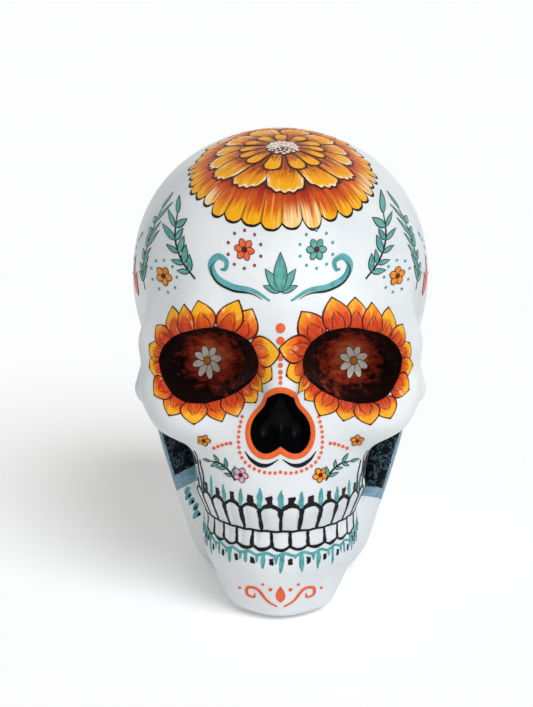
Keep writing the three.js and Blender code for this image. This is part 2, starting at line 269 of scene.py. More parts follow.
def bones_distance(points, bones):
    """Distance to bones put together in order, negative inside."""
    distance = None
    for bone in bones:
        if "parts" in bone:
            own = bones_distance(points, bone["parts"])
        elif "half" in bone:
            own = ellipsoid_distance(points, bone)
        else:
            own = rod_distance(points, bone)
        if distance is None:
            distance = own
        elif bone.get("cut"):
            distance = smooth_max(distance, -own, bone["blend"] * WIDTH)
        else:
            distance = smooth_min(distance, own, bone["blend"] * WIDTH)
    return distance


def tooth_relief(points):
    """How far the teeth stand out: rounded bars round the jaw tube, faded towards the back."""
    turn = np.arctan2(points[:, 0] / JAW_HALF[0], (JAW_Y - points[:, 1]) / JAW_HALF[1])
    fade = 1 / (1 + np.exp(np.clip((turn - TOOTH_REACH) / TOOTH_FADE, -40, 40)))
    step = np.pi * turn / TOOTH_PITCH
    relief = np.zeros(len(points))
    for row, wave in ((UPPER_ROW, np.sin(step)), (LOWER_ROW, np.cos(step))):
        height = np.exp(-(((points[:, 2] - row["middle"]) / row["half"]) ** 4))
        crown = TOOTH_VALLEY + (1 - TOOTH_VALLEY) * np.abs(wave) ** TOOTH_ROUND
        relief += row["relief"] * height * crown
    return relief * fade


def mirrored(points):
    """The points folded over to +X."""
    return np.column_stack((np.abs(points[:, 0]), points[:, 1], points[:, 2]))


def form_distance(points):
    """Distance to the outer form before it is carved: bones, teeth and the flat base."""
    q = mirrored(points)
    return smooth_max(bones_distance(q, BONES) - tooth_relief(q), BASE_Z - q[:, 2], BASE_ROUND)


def carved_distance(points):
    """Distance to the form with its sockets, nose and cheek pockets carved out, their edges rounded."""
    distance = form_distance(points)
    q = mirrored(points)
    for hollow in HOLLOWS:
        distance = smooth_max(distance, -bones_distance(q, hollow["parts"]), hollow["edge"])
    return distance


def slope_of(points, distance, gap):
    """Slope of a distance at points, from its growth over a small step along each axis."""
    step = 0.01
    return np.column_stack([(distance(points + step * axis) - gap) / step for axis in np.eye(3)])


def settle(points, distance=carved_distance, rounds=2, in_plane=False):
    """Points moved onto a surface along the slope of its distance, or along that within the seam plane."""
    for _ in range(rounds):
        gap = distance(points)
        slope = slope_of(points, distance, gap)
        if in_plane:
            slope[:, 1] = 0
        points = points - (gap / np.maximum(np.sum(slope * slope, axis=1), 0.05))[:, None] * slope
    return points


def normals_at(points):
    """Unit normals of the carved form."""
    slope = slope_of(points, carved_distance, carved_distance(points))
    return slope / np.linalg.norm(slope, axis=1)[:, None]


def cast(origins, directions, distance=carved_distance, rounds=400):
    """First points of a surface on rays, stepping six tenths of the distance that is left."""
    points = origins.copy()
    going = np.arange(len(points))
    for _ in range(rounds):
        gap = distance(points[going])
        points[going] += 0.6 * gap[:, None] * directions[going]
        going = going[np.abs(gap) > 1e-3]
        if len(going) == 0:
            break
    return points


# Grids of the shells


def seam_rays(cells, facing, spread):
    """Rays for a square grid. The square becomes a disc in the seam plane: rays look straight ahead in its
    middle, tilt outwards with the radius and lie in the plane at the rim."""
    side = np.linspace(-1, 1, cells + 1)
    s, t = np.meshgrid(side, side)
    rim = np.maximum(np.abs(s), np.abs(t))
    wide = np.abs(s) >= np.abs(t)
    safe = np.where(np.where(wide, s, t) == 0, 1, np.where(wide, s, t))
    turn = np.where(wide, (np.pi / 4) * t / safe, np.pi / 2 - (np.pi / 4) * s / safe)
    sign = np.sign(np.where(wide, s, t))
    outward = np.stack((sign * np.cos(turn), np.zeros_like(s), sign * np.sin(turn)), axis=-1)
    tilt = (np.pi / 2) * (0.3 * rim + 0.7 * rim**4)
    start = spread * (2 * rim - rim**2)
    ahead = np.where(rim == 1, 0, facing * np.cos(tilt))
    origins = CENTRE + start[..., None] * outward
    directions = outward * np.sin(tilt)[..., None] + ahead[..., None] * np.array((0, 1, 0))
    return origins.reshape(-1, 3), directions.reshape(-1, 3)


def outer_grid(cells, facing):
    """One half of the outer form: its rays walked in from far outside."""
    origins, directions = seam_rays(cells, facing, 0.17 * WIDTH)
    far = origins + (WIDTH + LENGTH) * directions
    return cast(far, -directions, form_distance).reshape(cells + 1, cells + 1, 3)


def inner_grid(cells, facing):
    """One half of the inside wall: rays walked out until only the wall's thickness is left."""
    origins, directions = seam_rays(cells, facing, 0)
    wall = cast(origins, directions, lambda points: -carved_distance(points) - WALL)
    return wall.reshape(cells + 1, cells + 1, 3)


def even_out(grid, distance, rounds):
    """A grid whose inner points move to the mean of their neighbours and settle again."""
    for _ in range(rounds):
        mean = (grid[:-2, 1:-1] + grid[2:, 1:-1] + grid[1:-1, :-2] + grid[1:-1, 2:]) / 4
        grid = grid.copy()
        grid[1:-1, 1:-1] = settle(mean.reshape(-1, 3), distance, 1).reshape(mean.shape)
    return grid


def hollow_depth(points, hollow):
    """How deep points lie in a hollow, negative outside."""
    return -bones_distance(mirrored(points), hollow["parts"])


def pushed_in(grid):
    """A grid of the outer form with the points over each hollow pushed to its floor, away from the point
    that sees the floor whole."""
    points = grid.reshape(-1, 3).copy()
    for hollow in HOLLOWS:
        for side in (-1, 1) if hollow["sided"] else (1,):
            eye = hollow["seen_from"] * (side, 1, 1)
            on_side = points[:, 0] * side > 0 if hollow["sided"] else np.ones(len(points), bool)
            over = on_side & (hollow_depth(points, hollow) > 0)
            away = points[over] - eye
            away /= np.linalg.norm(away, axis=1)[:, None]
            points[over] = cast(points[over], away, lambda place: hollow_depth(place, hollow))
    return points.reshape(grid.shape)


def refined(grid, distance):
    """A grid with twice the cells: midpoints put in, all points settled, the rim within the seam plane."""
    for axis in (0, 1):
        grid = np.moveaxis(grid, axis, 0)
        finer = np.empty((2 * len(grid) - 1,) + grid.shape[1:])
        finer[::2] = grid
        finer[1::2] = (grid[:-1] + grid[1:]) / 2
        grid = np.moveaxis(finer, 0, axis)
    rim = np.ones(grid.shape[:2], bool)
    rim[1:-1, 1:-1] = False
    grid[rim] = settle(grid[rim], distance, 3, in_plane=True)
    grid[~rim] = settle(grid[~rim], distance, 3)
    return grid


def face_grid():
    """The front half, carved: evened out on the outer form, pushed in, evened out and refined twice."""
    grid = even_out(outer_grid(75, -1), form_distance, 16)
    grid = even_out(pushed_in(grid), carved_distance, 24)
    grid = even_out(refined(grid, carved_distance), carved_distance, 8)
    return even_out(refined(grid, carved_distance), carved_distance, 3)


def back_grid():
    """The rear half, evened out and refined twice."""
    grid = even_out(outer_grid(48, 1), form_distance, 16)
    return even_out(refined(refined(grid, form_distance), form_distance), form_distance, 2)


def grid_quads(rows, columns):
    """Quads of a grid with points numbered along its rows."""
    index = np.arange(rows * columns).reshape(rows, columns)
    corners = (index[:-1, :-1], index[:-1, 1:], index[1:, 1:], index[1:, :-1])
    return np.stack([corner.ravel() for corner in corners], axis=1)


def rim_of(rows, columns):
    """Numbers of a grid's rim points, once round."""
    index = np.arange(rows * columns).reshape(rows, columns)
    return np.concatenate((index[0, :-1], index[:-1, -1], index[-1, :0:-1], index[:0:-1, 0]))


# Meshes


def to_frame(points):
    """Form millimetres as metres of the frame."""
    return (points + (0, FRAME_Y, 0)) / 1000


def mesh_from(name, points, faces):
    """A mesh from points of the form and a list of faces."""
    mesh = bpy.data.meshes.new(name)
    mesh.from_pydata(to_frame(points), [], faces)
    mesh.update()
    return mesh


def piece_from(name, mesh):
    """An object of the scene for a mesh."""
    piece = bpy.data.objects.new(name, mesh)
    bpy.context.scene.collection.objects.link(piece)
    return piece


def add_values(mesh, name, values):
    """Three named values at each point of a mesh."""
    attribute = mesh.attributes.new(name, "FLOAT_VECTOR", "POINT")
    attribute.data.foreach_set("vector", np.column_stack(values).astype(np.float32).ravel())


def shade_smooth(mesh, degrees):
    """Smooth faces, with sharp edges from an angle on."""
    mesh.polygons.foreach_set("use_smooth", np.ones(len(mesh.polygons), bool))
    mesh.set_sharp_from_angle(angle=math.radians(degrees))


def half_mesh(name, grid, facing):
    """Half of the form, closed by a fan in the seam plane."""
    rows, columns = grid.shape[:2]
    quads = grid_quads(rows, columns)
    rim = rim_of(rows, columns)
    middle = np.full(len(rim), rows * columns)
    fan = np.stack((middle, np.roll(rim, -1), rim), axis=1)
    if facing > 0:
        quads, fan = quads[:, ::-1], fan[:, ::-1]
    points = np.vstack((grid.reshape(-1, 3), CENTRE))
    return mesh_from(name, points, quads.tolist() + fan.tolist())


def cavity_mesh(cells):
    """The closed space inside the wall: two inner grids that share their rim."""
    front = inner_grid(cells, -1)
    back = inner_grid(cells, 1)
    size = cells + 1
    number = np.empty((size, size), int)
    number[1:-1, 1:-1] = size * size + np.arange((cells - 1) ** 2).reshape(cells - 1, cells - 1)
    rim = rim_of(size, size)
    number.ravel()[rim] = rim
    quads = grid_quads(size, size)
    back_quads = number.ravel()[quads][:, ::-1]
    points = np.vstack((front.reshape(-1, 3), back[1:-1, 1:-1].reshape(-1, 3)))
    return mesh_from("cavity", points, np.vstack((quads, back_quads)).tolist())


def turned_mesh(name, profile, x, y, sides=64):
    """A closed turned body: a profile of radius and height carried round an upright axis at x, y."""
    profile = np.array(profile, float)
    angle = np.linspace(0, 2 * np.pi, sides, endpoint=False)
    ring = np.stack((np.cos(angle), np.sin(angle)), axis=1)
    inner = profile[1:-1]
    wall = np.empty((len(inner), sides, 3))
    wall[..., :2] = (x, y) + inner[:, None, :1] * ring
    wall[..., 2] = inner[:, 1:]
    poles = np.array(((x, y, profile[0, 1]), (x, y, profile[-1, 1])))
    index = np.arange(len(inner) * sides).reshape(len(inner), sides)
    index = np.hstack((index, index[:, :1]))
    quads = index.ravel()[grid_quads(len(inner), sides + 1)]
    low = np.full(sides, len(inner) * sides)
    fan_low = np.stack((low, index[0, 1:], index[0, :-1]), axis=1)
    fan_high = np.stack((low + 1, index[-1, :-1], index[-1, 1:]), axis=1)
    points = np.vstack((wall.reshape(-1, 3), poles))
    return mesh_from(name, points, quads.tolist() + fan_low.tolist() + fan_high.tolist())


def rounded(corners, radius, steps=5):
    """A profile whose inner corners are rounded with arcs through points of a quadratic curve."""
    corners = np.array(corners, float)
    share = np.linspace(0, 1, steps)[:, None]
    run = [corners[:1]]
    for before, corner, after in zip(corners[:-2], corners[1:-1], corners[2:]):
        back, on = before - corner, after - corner
        cut_back = min(radius, np.linalg.norm(back) / 2.1)
        cut_on = min(radius, np.linalg.norm(on) / 2.1)
        start = corner + back / np.linalg.norm(back) * cut_back
        end = corner + on / np.linalg.norm(on) * cut_on
        run.append((1 - share) ** 2 * start + 2 * share * (1 - share) * corner + share**2 * end)
    run.append(corners[-1:])
    return np.vstack(run)


def cut(piece, tools):
    """Takes the tools' space out of a piece, and removes the tools."""
    for tool in tools:
        step = piece.modifiers.new("cut", "BOOLEAN")
        step.operation = "DIFFERENCE"
        step.solver = "MANIFOLD"
        step.object = tool
    bpy.context.view_layer.update()
    done = piece.evaluated_get(bpy.context.evaluated_depsgraph_get())
    mesh = bpy.data.meshes.new_from_object(done)
    piece.modifiers.clear()
    rough = piece.data
    piece.data = mesh
    mesh.name = rough.name
    bpy.data.meshes.remove(rough)
    for tool in tools:
        bpy.data.objects.remove(tool)


def to_form(points):
    """Metres of the frame as form millimetres."""
    return points * 1000 - (0, FRAME_Y, 0)


def form_points(items, key):
    """Points or face middles of a mesh, in form millimetres."""
    flat = np.empty(3 * len(items), np.float32)
    items.foreach_get(key, flat)
    return to_form(flat.reshape(-1, 3).astype(float))


def form_box(node):
    """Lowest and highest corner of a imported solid, in form millimetres."""
    return (to_form(np.array(corner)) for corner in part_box(node))


def paint_borders(points):
    """Distances to the ends of the paint, below 0 inside, for sockets, nose, dark of the pockets and their
    blue band, and the reach from the middle of the sockets in shares of the glow."""
    q = mirrored(points)
    x, y, z = q.T
    outside = bones_distance(q, BONES)
    pocket = bones_distance(q, POCKET)
    right = points[:, 0] > 0
    own = {key: np.where(right, POCKET_RIGHT[key], POCKET_LEFT[key]) for key in POCKET_LEFT}
    bend = BRINK["bend"] * np.maximum(z - BRINK["bend_z"], 0)
    brink = x - BRINK["x"] - BRINK["lean"] * (z - BRINK["z"]) + bend
    rise = z - own["low"] - own["across"] * (POCKET_CORNER[0] - x) + own["back"] * (y - POCKET_CORNER[1])
    branch = np.maximum.reduce((BRANCH["front"] - y, y - BRANCH["back"], z - BRANCH["top"]))
    dark = np.minimum(pocket - np.interp(z, *DARK_SPILL), branch)
    night = np.maximum.reduce((dark, brink - DARK_BRINK, -rise))
    blue = np.minimum(np.maximum(pocket - BLUE_SPILL, rise), branch)
    band = np.maximum.reduce((blue, brink - BLUE_BRINK, -own["band"] - rise, own["front"] - y))
    reach = np.hypot((x - GLOW["x"]) / GLOW["wide"], (z - GLOW["z"]) / GLOW["high"])
    return bones_distance(q, SOCKET) + outside, bones_distance(q, NOSE) + outside, night, band, reach


def finish_shell(piece, node):
    """Smooth faces with a sharp seam, the paint's borders at each point, raw casting inside the wall."""
    mesh = piece.data
    socket, nose, night, band, reach = paint_borders(form_points(mesh.vertices, "co"))
    add_values(mesh, "hollows", (socket, nose, night))
    add_values(mesh, "washes", (band, reach, 0 * reach))
    middles = form_points(mesh.polygons, "center")
    mesh.materials.clear()
    mesh.materials.append(white_ground("white_ground", 0.3))
    mesh.materials.append(white_ground("hollow_paint", 0.04))
    mesh.materials.append(raw_casting())
    painted = np.min(paint_borders(middles)[:4], axis=0) < 1.0
    raw = carved_distance(middles) < -1.0
    mesh.polygons.foreach_set("material_index", np.where(raw, 2, painted).astype(np.int32))
    shade_smooth(mesh, SEAM_ANGLE)
    mesh.update()
    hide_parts(node)
    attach(piece, "skull")


# Charts: flat drawings, in millimetres, laid on the form


def front_chart(u, v, distance=carved_distance):
    """A drawing seen from the front: across and up, cast straight back."""
    origins = np.column_stack((u, np.full(len(u), -IN_FRONT), v))
    return cast(origins, np.tile((0.0, 1.0, 0.0), (len(u), 1)), distance)


def side_chart(side):
    """A drawing seen from one side: back along the head and up, cast straight in."""

    def chart(u, v):
        origins = np.column_stack((np.full(len(u), BESIDE * side), u, v))
        return cast(origins, np.tile((-1.0 * side, 0.0, 0.0), (len(u), 1)))

    return chart


def jaw_chart(u, v):
    """A drawing rolled round the jaws: along the row of teeth and up, cast in towards the jaws' axis."""
    turn = u / JAW_HALF[0]
    out = np.column_stack((np.sin(turn), -np.cos(turn), np.zeros(len(u))))
    axis = np.column_stack((np.zeros(len(u)), np.full(len(u), JAW_Y), v))
    return cast(axis + ROUND_JAWS * out, -out)


def walk_table(starts, headings, length, steps):
    """Straightest paths over the form from starts, with headings turned along the surface at each step."""
    step = length / steps
    rows = [starts]
    points = starts
    for _ in range(steps):
        slope = slope_of(points, form_distance, form_distance(points))
        slope /= np.linalg.norm(slope, axis=1)[:, None]
        headings = headings - np.sum(headings * slope, axis=1)[:, None] * slope
        headings /= np.linalg.norm(headings, axis=1)[:, None]
        points = settle(points + step * headings, form_distance)
        rows.append(points)
    return np.stack(rows)


def from_table(table, along, around):
    """Points of a table between its rows and columns; the columns run round and meet."""
    rows, columns = table.shape[:2]
    along = np.clip(along, 0, rows - 1.001)
    i = along.astype(int)
    a = (along - i)[:, None]
    around = np.mod(around, columns)
    j = np.floor(around).astype(int) % columns
    b = (around - np.floor(around))[:, None]
    k = (j + 1) % columns
    low = table[i, j] * (1 - b) + table[i, k] * b
    high = table[i + 1, j] * (1 - b) + table[i + 1, k] * b
    return low * (1 - a) + high * a


def crown_chart():
    """A drawing round the crown: across and forward from its middle, carried along straightest paths."""
    middle = settle(np.array((CROWN,)), form_distance, 6)
    angle = np.linspace(0, 2 * np.pi, CROWN_PATHS, endpoint=False)
    headings = np.column_stack((np.sin(angle), -np.cos(angle), np.zeros(CROWN_PATHS)))
    table = walk_table(np.repeat(middle, CROWN_PATHS, axis=0), headings, CROWN_LENGTH, CROWN_LENGTH)

    def chart(u, v):
        return from_table(table, np.hypot(u, v), np.arctan2(u, v) / (2 * np.pi) * CROWN_PATHS)

    return chart


def rim_chart(parts, middle, side, length):
    """A drawing round the edge of a hollow: along the edge, counted from its right end towards the top,
    and outwards from it. Also gives the length of the edge."""
    count = 240
    angle = np.linspace(0, 2 * np.pi, count, endpoint=False)
    way = np.column_stack((np.cos(angle), np.sin(angle)))
    low, high = np.zeros(count), np.full(count, 40.0)

    def outer(reach):
        place = np.array(middle) + reach[:, None] * way
        return front_chart(place[:, 0], place[:, 1], form_distance)

    def hollow(points):
        return bones_distance(mirrored(points), parts)

    for _ in range(18):
        reach = (low + high) / 2
        inside = hollow(outer(reach)) < 0
        low = np.where(inside, reach, low)
        high = np.where(inside, high, reach)
    edge = outer((low + high) / 2)
    gaps = np.linalg.norm(np.roll(edge, -1, axis=0) - edge, axis=1)
    run = np.concatenate(((0,), np.cumsum(gaps)))
    ring = np.linspace(0, run[-1], count, endpoint=False)
    closed = np.vstack((edge, edge[:1]))
    even = np.column_stack([np.interp(ring, run, closed[:, axis]) for axis in range(3)])
    even = settle(even, form_distance)
    table = walk_table(even, slope_of(even, hollow, hollow(even)), length, int(2 * length))
    mirror = np.array((side, 1, 1))

    def chart(u, v):
        return from_table(table, 2 * v, u / run[-1] * count) * mirror

    return chart, run[-1]


# Brushwork: closed patches of paint that lie on the form


class Coat:
    """Paint of one finish, gathered patch by patch and then made one piece."""

    def __init__(self):
        self.points = []
        self.quads = []
        self.uv = []
        self.marks = []
        self.count = 0

    def add(self, chart, u, v, edge, off, tint=0.5, lift=0.2):
        """Patches on a chart: u and v hold one grid for each patch, edge the distance from its outline and
        off the distance from its middle line."""
        number, rows, columns = u.shape
        points = settle(chart(u.ravel(), v.ravel()))
        normals = normals_at(points)
        lift = np.broadcast_to(np.asarray(lift, float).reshape(-1, 1, 1), u.shape).ravel()
        top = (points + lift[:, None] * normals).reshape(number, -1, 3)
        bottom = (points - PAINT_ROOT * normals).reshape(number, -1, 3)
        size = rows * columns
        quads = grid_quads(rows, columns)
        rim = rim_of(rows, columns)
        wall = np.stack((np.roll(rim, -1), rim, rim + size, np.roll(rim, -1) + size), axis=1)
        closed = np.vstack((quads, quads[:, ::-1] + size, wall))
        here = (rows - 1) // 2 * columns + (columns - 1) // 2
        facing = np.cross(top[0, here + 1] - top[0, here], top[0, here + columns] - top[0, here])
        if np.dot(facing, normals[here]) < 0:
            closed = closed[:, ::-1]
        starts = self.count + 2 * size * np.arange(number)
        self.quads.append((closed[None] + starts[:, None, None]).reshape(-1, 4))
        self.points.append(np.concatenate((top, bottom), axis=1).reshape(-1, 3))
        share = np.meshgrid(np.linspace(0, 1, columns), np.linspace(0, 1, rows))
        self.uv.append(np.tile(np.stack(share, axis=-1).reshape(-1, 2), (2 * number, 1)))
        tint = np.asarray(tint, float)
        tint = tint if tint.ndim == 3 else tint.reshape(-1, 1, 1)
        marks = np.stack([np.broadcast_to(value, u.shape) for value in (edge, tint, off)], axis=-1)
        marks = marks.reshape(number, -1, 3)
        self.marks.append(np.concatenate((marks, marks), axis=1).reshape(-1, 3))
        self.count += 2 * size * number

    def make(self, name, material):
        """The piece, riding on the skull."""
        mesh = mesh_from(name, np.vstack(self.points), np.vstack(self.quads).tolist())
        shade_smooth(mesh, PAINT_ANGLE)
        add_values(mesh, "brush", np.vstack(self.marks).T)
        layer = mesh.uv_layers.new(name="stroke")
        corners = np.empty(len(mesh.loops), np.int32)
        mesh.loops.foreach_get("vertex_index", corners)
        layer.data.foreach_set("uv", np.vstack(self.uv)[corners].astype(np.float32).ravel())
        mesh.materials.append(material)
        piece = piece_from(name, mesh)
        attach(piece, "skull")


def petals(base, heading, length, width, outline, tip=None, rows=14, columns=9):
    """Petal grids: from base points along headings, with a half width that follows an outline of the share
    along, and a length that follows a tip of the share across. Returns both coordinates, the distance from
    the edge and the distance from the middle line."""
    along = np.linspace(0, 1, rows)[None, :, None]
    across = np.linspace(-1, 1, columns)[None, None, :]
    heading = np.asarray(heading, float).reshape(-1, 1, 1)
    length = np.asarray(length, float).reshape(-1, 1, 1) * (tip(across, heading) if tip else 1 + 0 * across)
    half = np.asarray(width, float).reshape(-1, 1, 1) / 2 * np.maximum(outline(along), 0.03)
    base = np.asarray(base, float).reshape(-1, 2)
    way_u, way_v = np.sin(heading), np.cos(heading)
    off = half * across
    u = base[:, 0, None, None] + length * along * way_u + off * way_v
    v = base[:, 1, None, None] + length * along * way_v - off * way_u
    return u, v, np.minimum(half - np.abs(off), 0.8 * length * (1 - along)), off


def strokes(path, width, columns=5):
    """Brush strokes: paths widened to both sides by half of a width at each point."""
    path = np.asarray(path, float)
    if path.ndim == 2:
        path = path[None]
    run = np.gradient(path, axis=1)
    run /= np.linalg.norm(run, axis=2, keepdims=True) + 1e-9
    half = np.broadcast_to(np.asarray(width, float), path.shape[:2])[..., None] / 2
    off = half * np.linspace(-1, 1, columns)
    return path[..., :1] + off * run[..., 1:], path[..., 1:] - off * run[..., :1], half - np.abs(off), off


def dots(places, radius, cells=6):
    """Round dabs: a square grid drawn out to a disc, ring by ring."""
    side = np.linspace(-1, 1, cells + 1)
    s, t = np.meshgrid(side, side)
    ring = np.maximum(np.abs(s), np.abs(t))
    scale = ring / np.maximum(np.hypot(s, t), 1e-9)
    places = np.asarray(places, float).reshape(-1, 2)
    radius = np.broadcast_to(np.asarray(radius, float), (len(places),)).reshape(-1, 1, 1)
    off = radius * s * scale
    u = places[:, 0, None, None] + off
    v = places[:, 1, None, None] + radius * t * scale
    return u, v, radius * (1 - ring), off


def curve_through(knots, count=24):
    """A smooth path through knots, from cubic pieces whose slopes are half the step between neighbours."""
    knots = np.asarray(knots, float)
    slope = np.gradient(knots, axis=0)
    place = np.linspace(0, len(knots) - 1, count)
    i = np.minimum(place.astype(int), len(knots) - 2)
    t = (place - i)[:, None]
    a, b = knots[i], knots[i + 1]
    return (
        (2 * t**3 - 3 * t**2 + 1) * a
        + (t**3 - 2 * t**2 + t) * slope[i]
        + (3 * t**2 - 2 * t**3) * b
        + (t**3 - t**2) * slope[i + 1]
    )


def pointed(along):
    """Outline of a pointed petal: wide below the middle, a point at the tip."""
    return np.sin(np.pi * (0.25 + 0.75 * along))


def blunt(along):
    """Outline of a narrow petal with a round tip."""
    return (0.4 + 0.6 * along) * np.sqrt(np.clip(1 - np.clip((along - 0.72) / 0.28, 0, 1) ** 2, 0, 1))


def strap(along):
    """Outline of a broad petal that widens to its end."""
    return 0.5 + 0.5 * np.sin(np.pi / 2 * np.clip(along / 0.75, 0, 1))


def jagged(across, heading):
    """Tip of a broad petal: rounded, with torn teeth that differ from petal to petal."""
    wave = np.abs(np.mod(2.1 * across + 3.7 * heading, 1.0) - 0.5)
    return 1 - 0.16 * np.abs(across) ** 2.5 + 0.12 * wave


def oval(along):
    """Outline of a petal that is round at both ends."""
    return np.sqrt(np.clip(1 - (2 * along**0.85 - 1) ** 2, 0, 1))


def leaf(along):
    """Outline of a leaf with a point at both ends."""
    return np.sin(np.pi * along**0.8) ** 0.9


def tapered(count, width, start=0.25, end=0.15):
    """Widths of a stroke that swells from its start and thins to its end."""
    along = np.linspace(0, 1, count)
    swell = start + (1 - start) * np.minimum(along / 0.3, 1)
    thin = 1 - (1 - end) * np.clip((along - 0.5) / 0.5, 0, 1) ** 1.5
    return width * swell * thin


def sprig(stems, leaves, chart, knots, pairs, length, rng):
    """A twig along a smooth path, with leaves in pairs and one at its end."""
    path = curve_through(knots, 40)
    stems.add(chart, *strokes(path, tapered(40, 0.8, 0.9, 0.5)), lift=0.2)
    run = np.gradient(path, axis=0)
    at = np.linspace(5, 39, pairs + 1).astype(int)
    ahead = np.arctan2(run[at, 0], run[at, 1])
    base = np.vstack((path[at[:-1]], path[at[:-1]], path[at[-1:]]))
    heading = np.concatenate((ahead[:-1] - 0.8, ahead[:-1] + 0.8, ahead[-1:]))
    size = length * rng.uniform(0.85, 1.15, len(heading))
    patch = petals(base, heading, size, 0.38 * size, leaf, None, 10, 7)
    leaves.add(chart, *patch, tint=rng.uniform(0, 1, len(heading)), lift=0.24)


def blossom(flowers, hearts, chart, place, radius, count, rng):
    """A small flower: round petals about a heart."""
    turn = 2 * np.pi * (np.arange(count) + rng.uniform()) / count
    base = np.array(place) + 0.12 * radius * np.column_stack((np.sin(turn), np.cos(turn)))
    patch = petals(base, turn, 0.88 * radius, 4.0 * radius / count, oval, None, 11, 7)
    flowers.add(chart, *patch, tint=rng.uniform(0, 1, count), lift=0.2 + 0.02 * np.arange(count))
    hearts.add(chart, *dots(place, 0.27 * radius), lift=0.42)


def bead_ring(beads, chart, place, radius, count, size):
    """A ring of dots about a place."""
    turn = 2 * np.pi * np.arange(count) / count
    around = np.array(place) + radius * np.column_stack((np.sin(turn), np.cos(turn)))
    beads.add(chart, *dots(around, size, 4), lift=0.22)


# Finishes


class Finish:
    """A material and its nodes."""

    def __init__(self, name, **surface):
        self.material = bpy.data.materials.new(name)
        self.material.use_nodes = True
        self.tree = self.material.node_tree
        self.surface = self.tree.nodes["Principled BSDF"]
        for socket, value in surface.items():
            self.surface.inputs[socket.replace("_", " ")].default_value = value

    def node(self, kind, inputs=(), **settings):
        """A node with its settings, and its inputs as numbers, colours or other nodes' outputs."""
        node = self.tree.nodes.new(kind)
        for name, value in settings.items():
            setattr(node, name, value)
        for socket, value in dict(inputs).items():
            self.join(node.inputs[socket], value)
        return node

    def join(self, socket, value):
        """Links an output to a socket, or sets its number or colour."""
        if isinstance(value, bpy.types.NodeSocket):
            self.tree.links.new(value, socket)
        elif isinstance(value, tuple) and socket.type == "RGBA" and len(value) == 3:
            socket.default_value = value + (1.0,)
        else:
            socket.default_value = value

    def put(self, socket, value):
        """Joins a value to the surface shader."""
        self.join(self.surface.inputs[socket], value)

    def place(self):
        """Object coordinates."""
        return self.node("ShaderNodeTexCoord").outputs["Object"]

    def stretched(self, scale, turn=(0.0, 0.0, 0.0)):
        """Object coordinates drawn out for strokes."""
        return self.node(
            "ShaderNodeMapping", {"Vector": self.place(), "Scale": scale, "Rotation": turn}
        ).outputs["Vector"]

    def noise(self, vector, scale, detail=3.0, rough=0.55):
        """Cloudy noise between 0 and 1."""
        inputs = {"Vector": vector, "Scale": scale, "Detail": detail, "Roughness": rough}
        return self.node("ShaderNodeTexNoise", inputs).outputs["Fac"]

    def sum(self, a, b, operation="ADD"):
        """Two numbers through one sum."""
        return self.node("ShaderNodeMath", {0: a, 1: b}, operation=operation).outputs["Value"]

    def spread(self, value, gain):
        """A number between 0 and 1 drawn out evenly about its middle to a span of the gain about 0."""
        inputs = {0: value, 1: gain, 2: -gain / 2}
        return self.node("ShaderNodeMath", inputs, operation="MULTIPLY_ADD").outputs["Value"]

    def all_of(self, *shares):
        """Shares multiplied together."""
        product = shares[0]
        for share in shares[1:]:
            product = self.sum(product, share, "MULTIPLY")
        return product

    def grain(self, across, along, tint, wide, long):
        """A place in a patch's own streaks: so many across and along it, and other ones for each tint."""
        inputs = {
            "X": self.sum(across, wide, "MULTIPLY"),
            "Y": self.sum(along, long, "MULTIPLY"),
            "Z": self.sum(tint, 37.0, "MULTIPLY"),
        }
        return self.node("ShaderNodeCombineXYZ", inputs).outputs["Vector"]

    def ramp(self, value, low, high, to_low=0.0, to_high=1.0):
        """A number drawn from one span to another and held at its ends, with soft ends."""
        inputs = {"Value": value, "From Min": low, "From Max": high, "To Min": to_low, "To Max": to_high}
        return self.node("ShaderNodeMapRange", inputs, interpolation_type="SMOOTHSTEP").outputs["Result"]

    def mix(self, share, a, b):
        """Two colours mixed by a share."""
        node = self.node("ShaderNodeMix", data_type="RGBA")
        self.join(node.inputs["Factor"], share)
        self.join(node.inputs[6], a)
        self.join(node.inputs[7], b)
        return node.outputs[2]

    def value(self, name):
        """A named value of the mesh, as its three numbers."""
        node = self.node("ShaderNodeAttribute", attribute_name=name)
        return self.node("ShaderNodeSeparateXYZ", {"Vector": node.outputs["Vector"]}).outputs

    def stroke(self):
        """Share across and share along of a patch of paint."""
        node = self.node("ShaderNodeUVMap", uv_map="stroke")
        return self.node("ShaderNodeSeparateXYZ", {"Vector": node.outputs["UV"]}).outputs

    def bump(self, height, distance, strength=1.0, after=None):
        """A normal from a height, on top of an earlier one."""
        inputs = {"Height": height, "Distance": distance, "Strength": strength}
        if after is not None:
            inputs["Normal"] = after
        return self.node("ShaderNodeBump", inputs).outputs["Normal"]


def tone(colour):
    """A colour of the paint box by its name, or of a colour chart by its numbers."""
    if isinstance(colour, str):
        return tuple(getattr(bpy.context.scene.skull_colours, colour))
    return linear(*colour)


def brushes():
    """The brush sizes of the scene."""
    return bpy.context.scene.skull_brushes


def made(name):
    """A material that an earlier piece has made, or nothing."""
    return bpy.data.materials.get(name)


